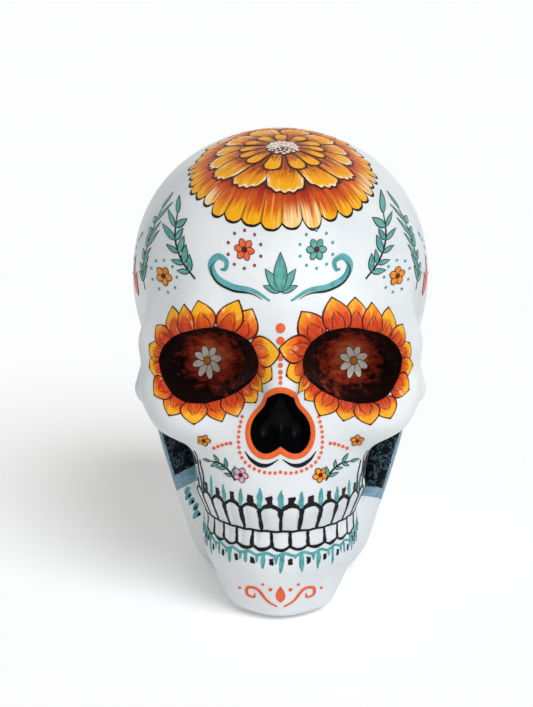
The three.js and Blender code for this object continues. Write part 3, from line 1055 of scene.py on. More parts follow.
def white_ground(name, gloss):
    """White acrylic ground in broad brush marks, with the painted hollows, under satin varnish."""
    if made(name):
        return made(name)
    paint = Finish(name, Specular_IOR_Level=gloss)
    place = paint.place()
    cloud = paint.noise(place, 16.0, 4.0)
    streak = paint.noise(paint.stretched((120.0, 500.0, 900.0), (0.2, 0.1, 0.5)), 1.0, 3.0)
    fleck = paint.noise(place, 900.0, 2.0)
    colour = paint.mix(paint.ramp(cloud, 0.35, 0.7), tone("ground"), tone("ground_shade"))
    colour = paint.mix(paint.ramp(streak, 0.5, 0.8, 0.0, 0.5), colour, tone("ground_shade"))
    socket, nose, dark = paint.value("hollows")
    band, reach, _ = paint.value("washes")
    ragged = paint.spread(paint.noise(place, 260.0, 2.0), 1.0)
    daub = paint.noise(paint.stretched((190.0, 190.0, 420.0), (0.0, 0.6, 0.0)), 1.0, 4.0, 0.65)
    depth = paint.sum(reach, paint.spread(daub, 1.1))
    glow = paint.mix(paint.ramp(depth, 0.05, 0.45), tone("socket_glow"), tone("socket_warm"))
    glow = paint.mix(paint.ramp(depth, 0.34, 0.74), glow, tone("socket_dark"))
    colour = paint.mix(paint.ramp(paint.sum(socket, ragged), 0.5, 0.7, 1.0, 0.0), colour, glow)
    colour = paint.mix(paint.ramp(nose, 0.3, 0.45, 1.0, 0.0), colour, tone("nose_black"))
    blue = paint.mix(paint.ramp(streak, 0.3, 0.7), tone("pocket_blue"), tone("pocket_shade"))
    colour = paint.mix(paint.ramp(paint.sum(band, ragged), -0.2, 0.1, 1.0, 0.0), colour, blue)
    scrawl = paint.noise(place, 140.0, 5.0, 0.7)
    thread = paint.sum(paint.spread(scrawl, 1.0), 0.0, "ABSOLUTE")
    night = paint.mix(paint.ramp(thread, 0.0, 0.025, 0.5, 0.0), tone("pocket_night"), tone("pocket_shade"))
    inner = paint.sum(dark, paint.spread(scrawl, 3.0))
    colour = paint.mix(paint.ramp(inner, -0.2, 0.1, 1.0, 0.0), colour, night)
    paint.put("Base Color", colour)
    varnish = paint.ramp(cloud, 0.3, 0.7, 0.36, 0.5)
    shine = paint.ramp(paint.sum(socket, nose, "MINIMUM"), -0.4, 0.4, 1.0, 0.0)
    rough = paint.node("ShaderNodeMix", {"Factor": shine, "A": varnish, "B": 0.2})
    paint.put("Roughness", rough.outputs[0])
    normal = paint.bump(streak, 0.00035, 0.35)
    paint.put("Normal", paint.bump(fleck, 0.00008, 0.25, normal))
    return paint.material


def raw_casting():
    """Bare cast body: chalky, faintly mottled."""
    if made("raw_casting"):
        return made("raw_casting")
    body = Finish("raw_casting")
    cloud = body.noise(body.place(), 120.0, 5.0)
    body.put("Base Color", body.mix(cloud, linear(206, 200, 186), linear(232, 228, 218)))
    body.put("Roughness", body.ramp(cloud, 0.3, 0.7, 0.8, 0.95))
    body.put("Normal", body.bump(body.noise(body.place(), 800.0, 3.0), 0.0002, 0.4))
    return body.material


def petal_paint(name, tones, line, rim, pale, rays, folds=0.0, bare=0.0, torn=0.0):
    """Petals in three tones from their foot, or from where they come out from under others, to the tip,
    streaked along, with pale brush marks, dark rays or folds from the foot, a pale torn end and a dark,
    uneven outline."""
    if made(name):
        return made(name)
    paint = Finish(name, Specular_IOR_Level=0.12, Roughness=0.45)
    foot, middle, tip = tones
    along = paint.ramp(paint.stroke()[1], bare, 1.0)
    edge, tint, off = paint.value("brush")
    streak = paint.noise(paint.grain(off, along, tint, 0.55, 1.5), 1.0, 4.0, 0.6)
    thread = paint.noise(paint.grain(off, along, tint, 1.2, 0.8), 1.0, 2.0, 0.5)
    daub = paint.noise(paint.place(), 230.0, 3.0)
    reach = paint.sum(paint.sum(along, paint.spread(streak, 1.2)), paint.spread(tint, 0.5))
    colour = paint.mix(paint.ramp(reach, 0.1, 0.5), foot, middle)
    colour = paint.mix(paint.ramp(reach, 0.5, 0.9), colour, tip)
    light = paint.all_of(paint.ramp(streak, 0.54, 0.66, 0.0, pale), paint.ramp(daub, 0.46, 0.6))
    colour = paint.mix(light, colour, tone("petal_light"))
    ends = paint.all_of(paint.ramp(edge, 0.6, 2.4, torn, 0.0), paint.ramp(along, 0.5, 0.85))
    colour = paint.mix(paint.all_of(ends, paint.ramp(streak, 0.4, 0.54)), colour, linear(252, 234, 200))
    waver = paint.sum(paint.sum(off, paint.spread(daub, 2.2)), 0.0, "ABSOLUTE")
    fold = paint.sum(waver, paint.ramp(along, 0.05, 0.8, 2.6, 0.0), "SUBTRACT")
    shade = paint.all_of(paint.ramp(fold, -0.9, 0.2, folds, 0.0), paint.ramp(tint, 0.15, 0.3))
    colour = paint.mix(paint.all_of(shade, 0.6), colour, foot)
    crease = paint.ramp(paint.sum(fold, 0.0, "ABSOLUTE"), 0.12, 0.32, folds, 0.0)
    colour = paint.mix(paint.all_of(crease, paint.ramp(along, 0.5, 0.68, 1.0, 0.0)), colour, line)
    ray = paint.sum(paint.spread(thread, 1.0), 0.0, "ABSOLUTE")
    dark = paint.all_of(paint.ramp(ray, 0.012, 0.04, rays, 0.0), paint.ramp(along, 0.3, 0.65, 1.0, 0.0))
    colour = paint.mix(paint.all_of(dark, paint.ramp(daub, 0.36, 0.5)), colour, line)
    border = paint.sum(edge, paint.spread(daub, 0.7))
    colour = paint.mix(paint.ramp(border, rim, rim + 0.14, 1.0, 0.0), colour, line)
    paint.put("Base Color", colour)
    paint.put("Normal", paint.bump(streak, 0.0002, 0.3))
    return paint.material


def eye_petal_paint():
    """Petals round the eyes: red orange to golden yellow."""
    tones = tone("petal_foot"), tone("petal_middle"), tone("petal_tip")
    rim = brushes().outline
    return petal_paint("eye_petal_paint", tones, tone("petal_line"), rim, pale=0.55, rays=0.5, folds=0.9)


def fringe_paint():
    """Skirt of the marigold: brick red to gold, creased between its lobes, cream strokes, a painted shadow
    towards its middle under the broad petals, and a border.
    """
    if made("fringe_paint"):
        return made("fringe_paint")
    paint = Finish("fringe_paint", Specular_IOR_Level=0.12, Roughness=0.45)
    around, along, _ = paint.stroke()
    edge, tint, off = paint.value("brush")
    broad = paint.noise(paint.grain(off, along, tint, 0.28, 0.9), 1.0, 3.0)
    streak = paint.noise(paint.grain(off, along, tint, 0.95, 1.3), 1.0, 4.0, 0.6)
    reach = paint.sum(paint.sum(along, paint.spread(broad, 1.0)), paint.spread(streak, 0.8))
    colour = paint.mix(paint.ramp(reach, 0.2, 0.62), linear(172, 46, 24), linear(212, 92, 26))
    colour = paint.mix(paint.ramp(reach, 0.56, 0.86), colour, linear(246, 176, 28))
    lit = paint.all_of(paint.ramp(tint, 0.74, 0.8), paint.ramp(along, 0.45, 0.8, 0.0, 0.9))
    colour = paint.mix(paint.all_of(lit, paint.ramp(streak, 0.36, 0.56)), colour, linear(252, 230, 182))
    hair = paint.all_of(paint.ramp(streak, 0.6, 0.7, 0.0, 0.75), paint.ramp(along, 0.2, 0.6))
    colour = paint.mix(hair, colour, linear(252, 226, 186))
    lobe = paint.sum(paint.sum(around, float(brushes().crown_lobes), "MULTIPLY"), 0.0, "FRACT")
    crease = paint.ramp(paint.sum(paint.spread(lobe, 1.0), 0.0, "ABSOLUTE"), 0.4, 0.5, 0.0, 0.85)
    crease = paint.all_of(crease, paint.ramp(along, 0.3, 0.75), paint.ramp(streak, 0.3, 0.5))
    colour = paint.mix(crease, colour, linear(104, 32, 18))
    # Painted shadow: the skirt darkens towards its middle, where it runs under the ring of broad petals
    colour = paint.mix(paint.ramp(along, 0.1, 0.42, 0.7, 0.0), colour, linear(96, 28, 18))
    border = paint.sum(edge, paint.spread(streak, 0.7))
    colour = paint.mix(paint.ramp(border, 1.2, 1.35, 1.0, 0.0), colour, linear(24, 14, 14))
    paint.put("Base Color", colour)
    paint.put("Normal", paint.bump(streak, 0.0002, 0.3))
    return paint.material


def marigold_paint():
    """Broad petals of the marigold: brown foot, gold, pale at the torn edge."""
    tones = linear(172, 66, 20), linear(230, 138, 18), linear(246, 172, 22)
    line = linear(58, 24, 14)
    return petal_paint("marigold_paint", tones, line, 0.3, pale=0.6, rays=0.9, bare=0.3, torn=0.95)


def heart_petal_paint():
    """Narrow petals round the marigold's heart: gold with dark strokes from the foot."""
    tones = linear(190, 98, 16), linear(240, 156, 14), linear(247, 172, 18)
    line = linear(58, 24, 14)
    return petal_paint("heart_petal_paint", tones, line, 0.3, pale=0.25, rays=1.0, folds=0.5)


# Plain brush paints: colour, shade, and the line round them with its width, where they have one
STROKE_PAINTS = dict(
    black_paint=((12, 12, 14), (34, 34, 37)),
    umber_paint=((50, 22, 14), (84, 38, 22)),
    cream_paint=((254, 246, 238), (236, 200, 180)),
    coral_paint=("coral", "coral_shade"),
    orange_paint=("orange", "coral_shade"),
    teal_paint=("teal", "teal_shade"),
    leaf_paint=("leaf", "teal_shade", (38, 48, 46), 0.3),
    coral_leaf_paint=("coral", "coral_shade", (92, 36, 28), 0.3),
    gold_paint=((240, 160, 50), (226, 122, 40), (60, 34, 24), 0.3),
    rose_paint=((232, 186, 200), (214, 160, 180), (84, 60, 70), 0.3),
    rosette_paint=((255, 252, 248), (244, 228, 214), (90, 40, 22), 0.2),
)


def stroke_paint(name):
    """Brush paint that is thicker and thinner along its stroke, with a dark line round it or without."""
    if made(name):
        return made(name)
    colour, shade, *line = STROKE_PAINTS[name]
    paint = Finish(name, Specular_IOR_Level=0.12, Roughness=0.45)
    along = paint.stroke()[1]
    edge, tint, off = paint.value("brush")
    streak = paint.noise(paint.grain(off, along, tint, 1.2, 2.0), 1.0, 4.0, 0.6)
    cloud = paint.noise(paint.place(), 300.0, 3.0)
    both = paint.sum(paint.sum(streak, cloud), 0.5, "MULTIPLY")
    body = paint.mix(paint.ramp(both, 0.38, 0.64), tone(colour), tone(shade))
    if line:
        rim, width = line
        border = paint.sum(edge, paint.spread(cloud, 0.6))
        body = paint.mix(paint.ramp(border, width, width + 0.12, 1.0, 0.0), body, tone(rim))
    paint.put("Base Color", body)
    paint.put("Normal", paint.bump(both, 0.00015, 0.35))
    return paint.material


def raw_resin():
    """Raw amber-grey resin of the joining strip."""
    resin = Finish("raw_resin", Roughness=0.6)
    cloud = resin.noise(resin.place(), 60.0, 4.0)
    resin.put("Base Color", resin.mix(cloud, linear(200, 190, 164), linear(222, 214, 194)))
    resin.put("Normal", resin.bump(resin.noise(resin.place(), 500.0), 0.0002, 0.4))
    return resin.material


def black_rubber():
    """Matt black rubber with a dusty bloom."""
    rubber = Finish("black_rubber", Specular_IOR_Level=0.3)
    cloud = rubber.noise(rubber.place(), 180.0, 5.0)
    bloom = rubber.ramp(cloud, 0.45, 0.75)
    rubber.put("Base Color", rubber.mix(bloom, linear(38, 38, 40), linear(62, 60, 58)))
    rubber.put("Roughness", rubber.ramp(cloud, 0.3, 0.7, 0.62, 0.85))
    rubber.put("Normal", rubber.bump(rubber.noise(rubber.place(), 1500.0), 0.0001, 0.4))
    return rubber.material


def wool_felt():
    """Dark wool felt: matted fibres in two tones."""
    felt = Finish("wool_felt", Roughness=0.95, Sheen_Weight=0.4, Specular_IOR_Level=0.1)
    fibre = felt.noise(felt.stretched((1.0, 1.0, 2.5)), 2600.0, 6.0, 0.7)
    cloud = felt.noise(felt.place(), 400.0, 3.0)
    colour = felt.mix(felt.ramp(fibre, 0.35, 0.65), linear(58, 54, 50), linear(104, 98, 90))
    felt.put("Base Color", felt.mix(felt.ramp(cloud, 0.4, 0.8, 0.0, 0.3), colour, linear(44, 42, 40)))
    felt.put("Normal", felt.bump(fibre, 0.0004, 0.7))
    return felt.material


# Settings


def chart_colour(name, description, *chart):
    """A colour setting whose default is a colour of a colour chart."""
    return FloatVectorProperty(
        name=name, description=description, subtype="COLOR", min=0, max=1, default=linear(*chart)
    )


class SkullColours(bpy.types.PropertyGroup):
    """The paint box."""

    ground: chart_colour("Ground", "White ground of the shells", 236, 239, 241)
    ground_shade: chart_colour("Ground shade", "Cool shade in the brush marks of the ground", 218, 224, 229)
    socket_glow: chart_colour("Socket glow", "Amber in the middle of the eye sockets", 226, 116, 66)
    socket_warm: chart_colour("Socket brown", "Brown between the sockets' middle and edge", 172, 60, 38)
    socket_dark: chart_colour("Socket dark", "Near black at the edge of the sockets", 26, 14, 14)
    nose_black: chart_colour("Nose black", "Gloss black of the nose opening", 8, 8, 11)
    pocket_night: chart_colour("Pocket night", "Dark blue inside the cheek pockets", 13, 17, 22)
    pocket_blue: chart_colour("Pocket blue", "Pale blue round the cheek pockets", 146, 178, 196)
    pocket_shade: chart_colour("Pocket shade", "Second tone of the pale blue", 112, 148, 168)
    petal_foot: chart_colour("Petal foot", "Red orange at the foot of the petals", 212, 70, 30)
    petal_middle: chart_colour("Petal middle", "Orange in the middle of the petals", 236, 118, 32)
    petal_tip: chart_colour("Petal tip", "Golden yellow at the tip of the petals", 247, 178, 38)
    petal_light: chart_colour("Petal light", "Pale streaks on the petals", 250, 216, 186)
    petal_line: chart_colour("Petal line", "Outline of the petals", 80, 24, 16)
    coral: chart_colour("Coral", "Dots and lines in coral", 238, 116, 78)
    coral_shade: chart_colour("Coral shade", "Deeper tone of the coral", 224, 92, 52)
    orange: chart_colour("Nose orange", "Rim of the nose opening", 240, 112, 40)
    teal: chart_colour("Teal", "Strokes in teal", 104, 176, 180)
    teal_shade: chart_colour("Teal shade", "Deeper tone of the teal", 72, 142, 146)
    leaf: chart_colour("Leaf", "Leaves of the sprigs", 108, 178, 164)


class SkullBrushes(bpy.types.PropertyGroup):
    """The brush sizes, in millimetres."""

    eye_petals: IntProperty(
        name="Eye petals", description="Petals round each eye socket", default=17, min=6, max=30,
    )
    eye_petal_length: FloatProperty(
        name="Eye petal length", description="Full length of the petals round the eyes, in millimetres",
        default=13.0, min=4, max=20,
    )
    crown_petals: IntProperty(
        name="Crown petals", description="Petals of each inner ring on the crown",
        default=13, min=6, max=30,
    )
    crown_lobes: IntProperty(
        name="Crown lobes", description="Lobes of the marigold's skirt", default=38, min=8, max=80,
    )
    crown_reach: FloatProperty(
        name="Crown reach", description="Reach of the marigold to each side, in millimetres",
        default=46.5, min=20, max=60,
    )
    outline: FloatProperty(
        name="Outline", description="Width of the petals' outline, in millimetres",
        default=0.58, min=0.1, max=2,
    )
    tooth_line: FloatProperty(
        name="Tooth line", description="Width of the lines between the teeth, in millimetres",
        default=1.8, min=0.3, max=4,
    )
    dot: FloatProperty(
        name="Dot", description="Radius of the dots, in millimetres", default=1.0, min=0.3, max=4,
    )


# Pieces


class SKULL_OT_face_shell(bpy.types.Operator):
    """Front half of the casting, with sockets, nose, cheek pockets and teeth"""

    bl_idname = "skull.face_shell"
    bl_label = "Face shell"

    def execute(self, context):
        piece = piece_from("painted_face_shell", half_mesh("painted_face_shell", face_grid(), -1))
        cut(piece, [piece_from("cavity", cavity_mesh(CAVITY_CELLS))])
        finish_shell(piece, "face_shell")
        return {"FINISHED"}


class SKULL_OT_back_shell(bpy.types.Operator):
    """Rear half of the casting, with the flat base and the hole for the stopper"""

    bl_idname = "skull.back_shell"
    bl_label = "Back shell"

    def execute(self, context):
        piece = piece_from("painted_back_shell", half_mesh("painted_back_shell", back_grid(), 1))
        x, y, low, high, flange, shank = stopper_sizes()
        wide, narrow = flange + HOLE_GAP, shank + HOLE_GAP
        start, seat = -2.0, low + FLANGE_THICK + HOLE_GAP
        profile = ((0, start), (wide, start), (wide, seat), (narrow, seat), (narrow, high), (0, high))
        hole = piece_from("hole", turned_mesh("hole", profile, x, y, 96))
        cut(piece, [piece_from("cavity", cavity_mesh(CAVITY_CELLS)), hole])
        finish_shell(piece, "back_shell")
        return {"FINISHED"}


def stopper_sizes():
    """Axis, ends and radii of the stopper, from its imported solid."""
    low, high = form_box("base_stopper")
    middle = (low + high) / 2
    flange = (high[0] - low[0]) / 2
    return middle[0], middle[1], low[2], high[2], flange, flange - FLANGE_WIDE


class SKULL_OT_base_pieces(bpy.types.Operator):
    """Stopper, felt feet and joining strip under and inside the base"""

    bl_idname = "skull.base_pieces"
    bl_label = "Base pieces"

    def execute(self, context):
        x, y, low, high, flange, shank = stopper_sizes()
        seat = low + FLANGE_THICK
        dimple = ((0, low + 0.8), (5.0, low + 0.8), (6.0, low))
        collar = ((flange, low), (flange, seat), (shank, seat))
        neck = ((shank - 0.35, low + 5.0), (shank - 0.35, low + 6.0), (shank - 0.3, low + 6.4))
        cup = ((shank - 1.0, high), (shank - 2.2, high), (shank - 2.8, high - 2.0), (0, high - 2.0))
        corners = dimple + collar + neck + cup
        plug = turned_mesh("rubber_stopper", rounded(corners, 0.5), x, y, 72)
        stopper = piece_from("rubber_stopper", plug)
        self.dress(stopper, black_rubber(), "base_stopper", "stopper_rubber", "stopper")
        felt = wool_felt()
        for node in ("foot_front_left", "foot_front_right", "foot_rear_left", "foot_rear_right"):
            low, high = form_box(node)
            middle = (low + high) / 2
            radius = (high[0] - low[0]) / 2
            outline = ((0, low[2]), (radius, low[2]), (radius, high[2]), (0, high[2]))
            disc = turned_mesh("felt_" + node, rounded(outline, 0.45), middle[0], middle[1], 56)
            self.dress(piece_from("felt_" + node, disc), felt, node, "foot_felt", "skull")
        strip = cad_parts["seam_strip"]
        strip.data.materials.clear()
        strip.data.materials.append(raw_resin())
        return {"FINISHED"}

    def dress(self, piece, material, node, slot, body):
        """Material, smooth faces, node and body of a turned piece. The slot is not used."""
        piece.data.materials.append(material)
        shade_smooth(piece.data, TURNED_ANGLE)
        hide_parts(node)
        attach(piece, body)


class SKULL_OT_eye_petals(bpy.types.Operator):
    """Rings of petals round both eye sockets"""

    bl_idname = "skull.eye_petals"
    bl_label = "Eye petals"

    # Shares of the edge, from the outer end over the top, with the petals' shares of their full length
    LENGTHS = (
        (0, 0.46), (0.06, 0.7), (0.12, 1), (0.22, 1.1), (0.4, 1.12), (0.47, 0.8), (0.52, 0.62), (0.6, 0.66),
        (0.68, 0.82), (0.76, 0.78), (0.88, 0.72), (0.94, 0.55), (1, 0.46),
    )

    def execute(self, context):
        coat = Coat()
        count = brushes().eye_petals
        rng = np.random.default_rng(7)
        for side in (-1, 1):
            chart, run = rim_chart(SOCKET, EYE, side, 22.0)
            place = (np.arange(count) + 0.35) / count + rng.uniform(-0.007, 0.007, count)
            length = brushes().eye_petal_length * np.interp(place, *np.transpose(self.LENGTHS))
            length *= rng.uniform(0.92, 1.08, count)
            width = 1.3 * run / count * rng.uniform(0.92, 1.1, count)
            base = np.column_stack((place * run, np.zeros(count)))
            lean = rng.uniform(-0.18, 0.18, count)
            lift = 0.2 + 0.1 * (np.arange(count) % 2)
            patches = petals(base, lean, length, width, pointed, None, 15, 11)
            coat.add(chart, *patches, tint=rng.uniform(0, 1, count), lift=lift)
        coat.make("paint_eye_petals", eye_petal_paint())
        return {"FINISHED"}


class SKULL_OT_crown_marigold(bpy.types.Operator):
    """Marigold over the crown: a lobed skirt, two rings of petals over it, and seeds"""

    bl_idname = "skull.crown_marigold"
    bl_label = "Crown marigold"

    def execute(self, context):
        chart = crown_chart()
        rng = np.random.default_rng(11)
        skirt = Coat()
        self.skirt(skirt, chart, rng)
        skirt.make("paint_crown_skirt", fringe_paint())
        # The umber coat: dark outlines and painted shadows under the crown petals, and the dark disc of the
        # heart
        umber = Coat()
        count = brushes().crown_petals
        petal = dict(inner=(0.16, 0.05), outer=(0.715, 0.2), fill=0.98, outline=strap, tip=jagged, lift=0.3)
        self.ring(chart, rng, count, 0.15, umber, **petal).make("paint_crown_petals", marigold_paint())
        petal = dict(inner=(0.12, 0.05), outer=(0.43, 0.14), fill=0.86, outline=blunt, tip=None, lift=0.52)
        self.ring(chart, rng, count, 0.55, umber, **petal).make("paint_crown_heart", heart_petal_paint())
        around = np.linspace(-np.pi, np.pi, 49)
        rim = self.reach(0.165, 0.075, around)
        share = np.linspace(0, 1, 5)[:, None]
        disc = [(share * rim * way)[None] for way in (np.sin(around), np.cos(around))]
        umber.add(chart, *disc, ((1 - share) * rim)[None], (share * rim)[None], lift=0.76)
        umber.make("paint_crown_umber", stroke_paint("umber_paint"))
        seeds = Coat()
        number = 60
        turn = np.arange(number) * math.pi * (3 - math.sqrt(5))
        out = self.reach(0.15, 0.07, turn) * np.sqrt((np.arange(number) + 0.5) / number)
        places = np.column_stack((out * np.sin(turn), out * np.cos(turn)))
        size = rng.uniform(0.6, 1.05, number)
        seeds.add(chart, *dots(places, size, 4), tint=rng.uniform(0, 1, number), lift=0.84)
        seeds.make("paint_crown_seeds", stroke_paint("cream_paint"))
        return {"FINISHED"}

    def reach(self, side, ahead, turn):
        """Shares of the flower's reach to the sides and back, and how much further it goes in front."""
        return brushes().crown_reach * (side + ahead * np.clip(np.cos(turn), 0, 1) ** 2)

    def skirt(self, coat, chart, rng):
        """One ring whose border is a row of half round lobes, with deeper cuts here and there."""
        lobes, steps = brushes().crown_lobes, 16
        turn = np.linspace(-np.pi, np.pi, lobes * steps + 1)
        phase = np.linspace(0, lobes, lobes * steps + 1)
        number = np.minimum(phase.astype(int), lobes - 1)
        inside = 2 * (phase - number) - 1
        grow = rng.uniform(-2.0, 1.0, lobes)[number] * (1 - inside**4)
        notch = np.where(rng.uniform(0, 1, lobes + 1) < 0.3, 5.2, 3.0)
        notch[-1] = notch[0]
        depth = np.where(inside < 0, notch[number], notch[number + 1])
        outer = self.reach(1.0, 0.375, turn) + grow - depth * np.abs(inside) ** 2.6
        inner = self.reach(0.58, 0.16, turn)
        share = np.linspace(0, 1, 12)[:, None]
        out = inner + (outer - inner) * share
        tint = np.broadcast_to(rng.uniform(0, 1, lobes)[number], out.shape)[None]
        patch = (out * np.sin(turn), out * np.cos(turn), outer - out, 48 * turn + 0 * out)
        coat.add(chart, *(value[None] for value in patch), tint=tint, lift=0.2)

    def ring(self, chart, rng, count, first, umber, inner, outer, fill, outline, tip, lift):
        """One ring of petals about the middle, each over a larger dark one that gives it a dark outline and
        a painted shadow on what lies under it.
        """
        turn = 2 * np.pi * (np.arange(count) + first + rng.uniform(-0.1, 0.1, count)) / count
        foot = self.reach(*inner, turn)
        end = self.reach(*outer, turn) * rng.uniform(0.96, 1.03, count)
        base = np.column_stack((foot * np.sin(turn), foot * np.cos(turn)))
        width = 2 * np.pi * 0.85 * end / count * fill
        step = 0.05 * (np.arange(count) % 3)
        # The larger dark copy under each petal: its dark outline, and a painted shadow round it
        patches = petals(base, turn, end - foot + 0.8, width + 1.7, outline, tip, 14, 17)
        umber.add(chart, *patches, tint=rng.uniform(0, 1, count), lift=lift + step)
        gold = Coat()
        patches = petals(base, turn, end - foot, width, outline, tip, 14, 17)
        gold.add(chart, *patches, tint=rng.uniform(0, 1, count), lift=lift + 0.04 + step)
        return gold


class SKULL_OT_nose_paint(bpy.types.Operator):
    """Orange rim of the nose opening, two dark bows under it and the coral dots round it"""

    bl_idname = "skull.nose_paint"
    bl_label = "Nose paint"

    # Knots for the right side, across and up: a bow, and a row of dots round the opening
    BOW = np.array(((15.6, 84.2), (13.0, 80.9), (9.0, 78.8), (5.0, 79.1), (0.9, 81.6)))
    DOT_ROW = np.array((
        (16.8, 99.5), (18.2, 93.0), (18.4, 87.0), (17.2, 81.6),
        (13.6, 78.0), (8.0, 75.9), (3.0, 75.6), (0.0, 76.0),
    ))
    # The column of dots between the eyes: its top, how far each dot lies below it, and shares of their size
    COLUMN_TOP = 142.5
    COLUMN_DROPS = np.array((0.0, 5.3, 9.9, 13.1, 16.2, 19.2, 21.5, 23.6))
    COLUMN_SIZES = np.array((2.1, 1.8, 1.35, 1.2, 1.1, 1.0, 0.9, 0.85))

    def execute(self, context):
        self.rim()
        beads, black = Coat(), Coat()
        thick = 0.35 + 1.5 * np.sin(np.pi * np.linspace(0, 1, 32)) ** 1.3
        step = np.linspace(0, 1, 5)
        dot = brushes().dot
        for side in (-1, 1):
            black.add(front_chart, *strokes(curve_through(self.BOW * (side, 1), 32), thick), lift=0.2)
            line = self.even(curve_through(self.DOT_ROW * (side, 1), 80), 17)
            # The two rows share the dot in the middle
            beads.add(front_chart, *dots(line[: 16 if side > 0 else 17], 0.76 * dot), lift=0.24)
            line = np.column_stack((side * (22.0 + 7.5 * step), 87.0 - 3.5 * step**1.4))
            beads.add(front_chart, *dots(line, 0.8 * dot), lift=0.24)
        black.make("paint_nose_black", stroke_paint("black_paint"))
        column = np.column_stack((0 * self.COLUMN_DROPS, self.COLUMN_TOP - self.COLUMN_DROPS))
        beads.add(front_chart, *dots(column, self.COLUMN_SIZES * dot), lift=0.26)
        beads.make("paint_coral_dots", stroke_paint("coral_paint"))
        return {"FINISHED"}

    def rim(self):
        """The orange rim, wider at the top and a little so at the bottom."""
        chart, run = rim_chart(NOSE, NOSE_MIDDLE, 1, 14.0)
        share = np.linspace(0, 1, 161)
        across = np.linspace(0, 1, 6)
        place = (share * run)[:, None] + 0 * across
        up = np.sin(2 * np.pi * share)
        width = (2.2 + 0.8 * np.clip(up, 0, 1) ** 3 + 0.5 * np.clip(-up, 0, 1))[:, None]
        patch = (place, width * across, width * np.minimum(across, 1 - across), width * across)
        coat = Coat()
        coat.add(chart, *(value[None] for value in patch), lift=0.26)
        coat.make("paint_nose_rim", stroke_paint("orange_paint"))

    def even(self, path, count):
        """Points at even steps along a path."""
        run = np.concatenate(((0,), np.cumsum(np.linalg.norm(np.diff(path, axis=0), axis=1))))
        at = np.linspace(0, run[-1], count)
        return np.column_stack([np.interp(at, run, path[:, axis]) for axis in range(2)])


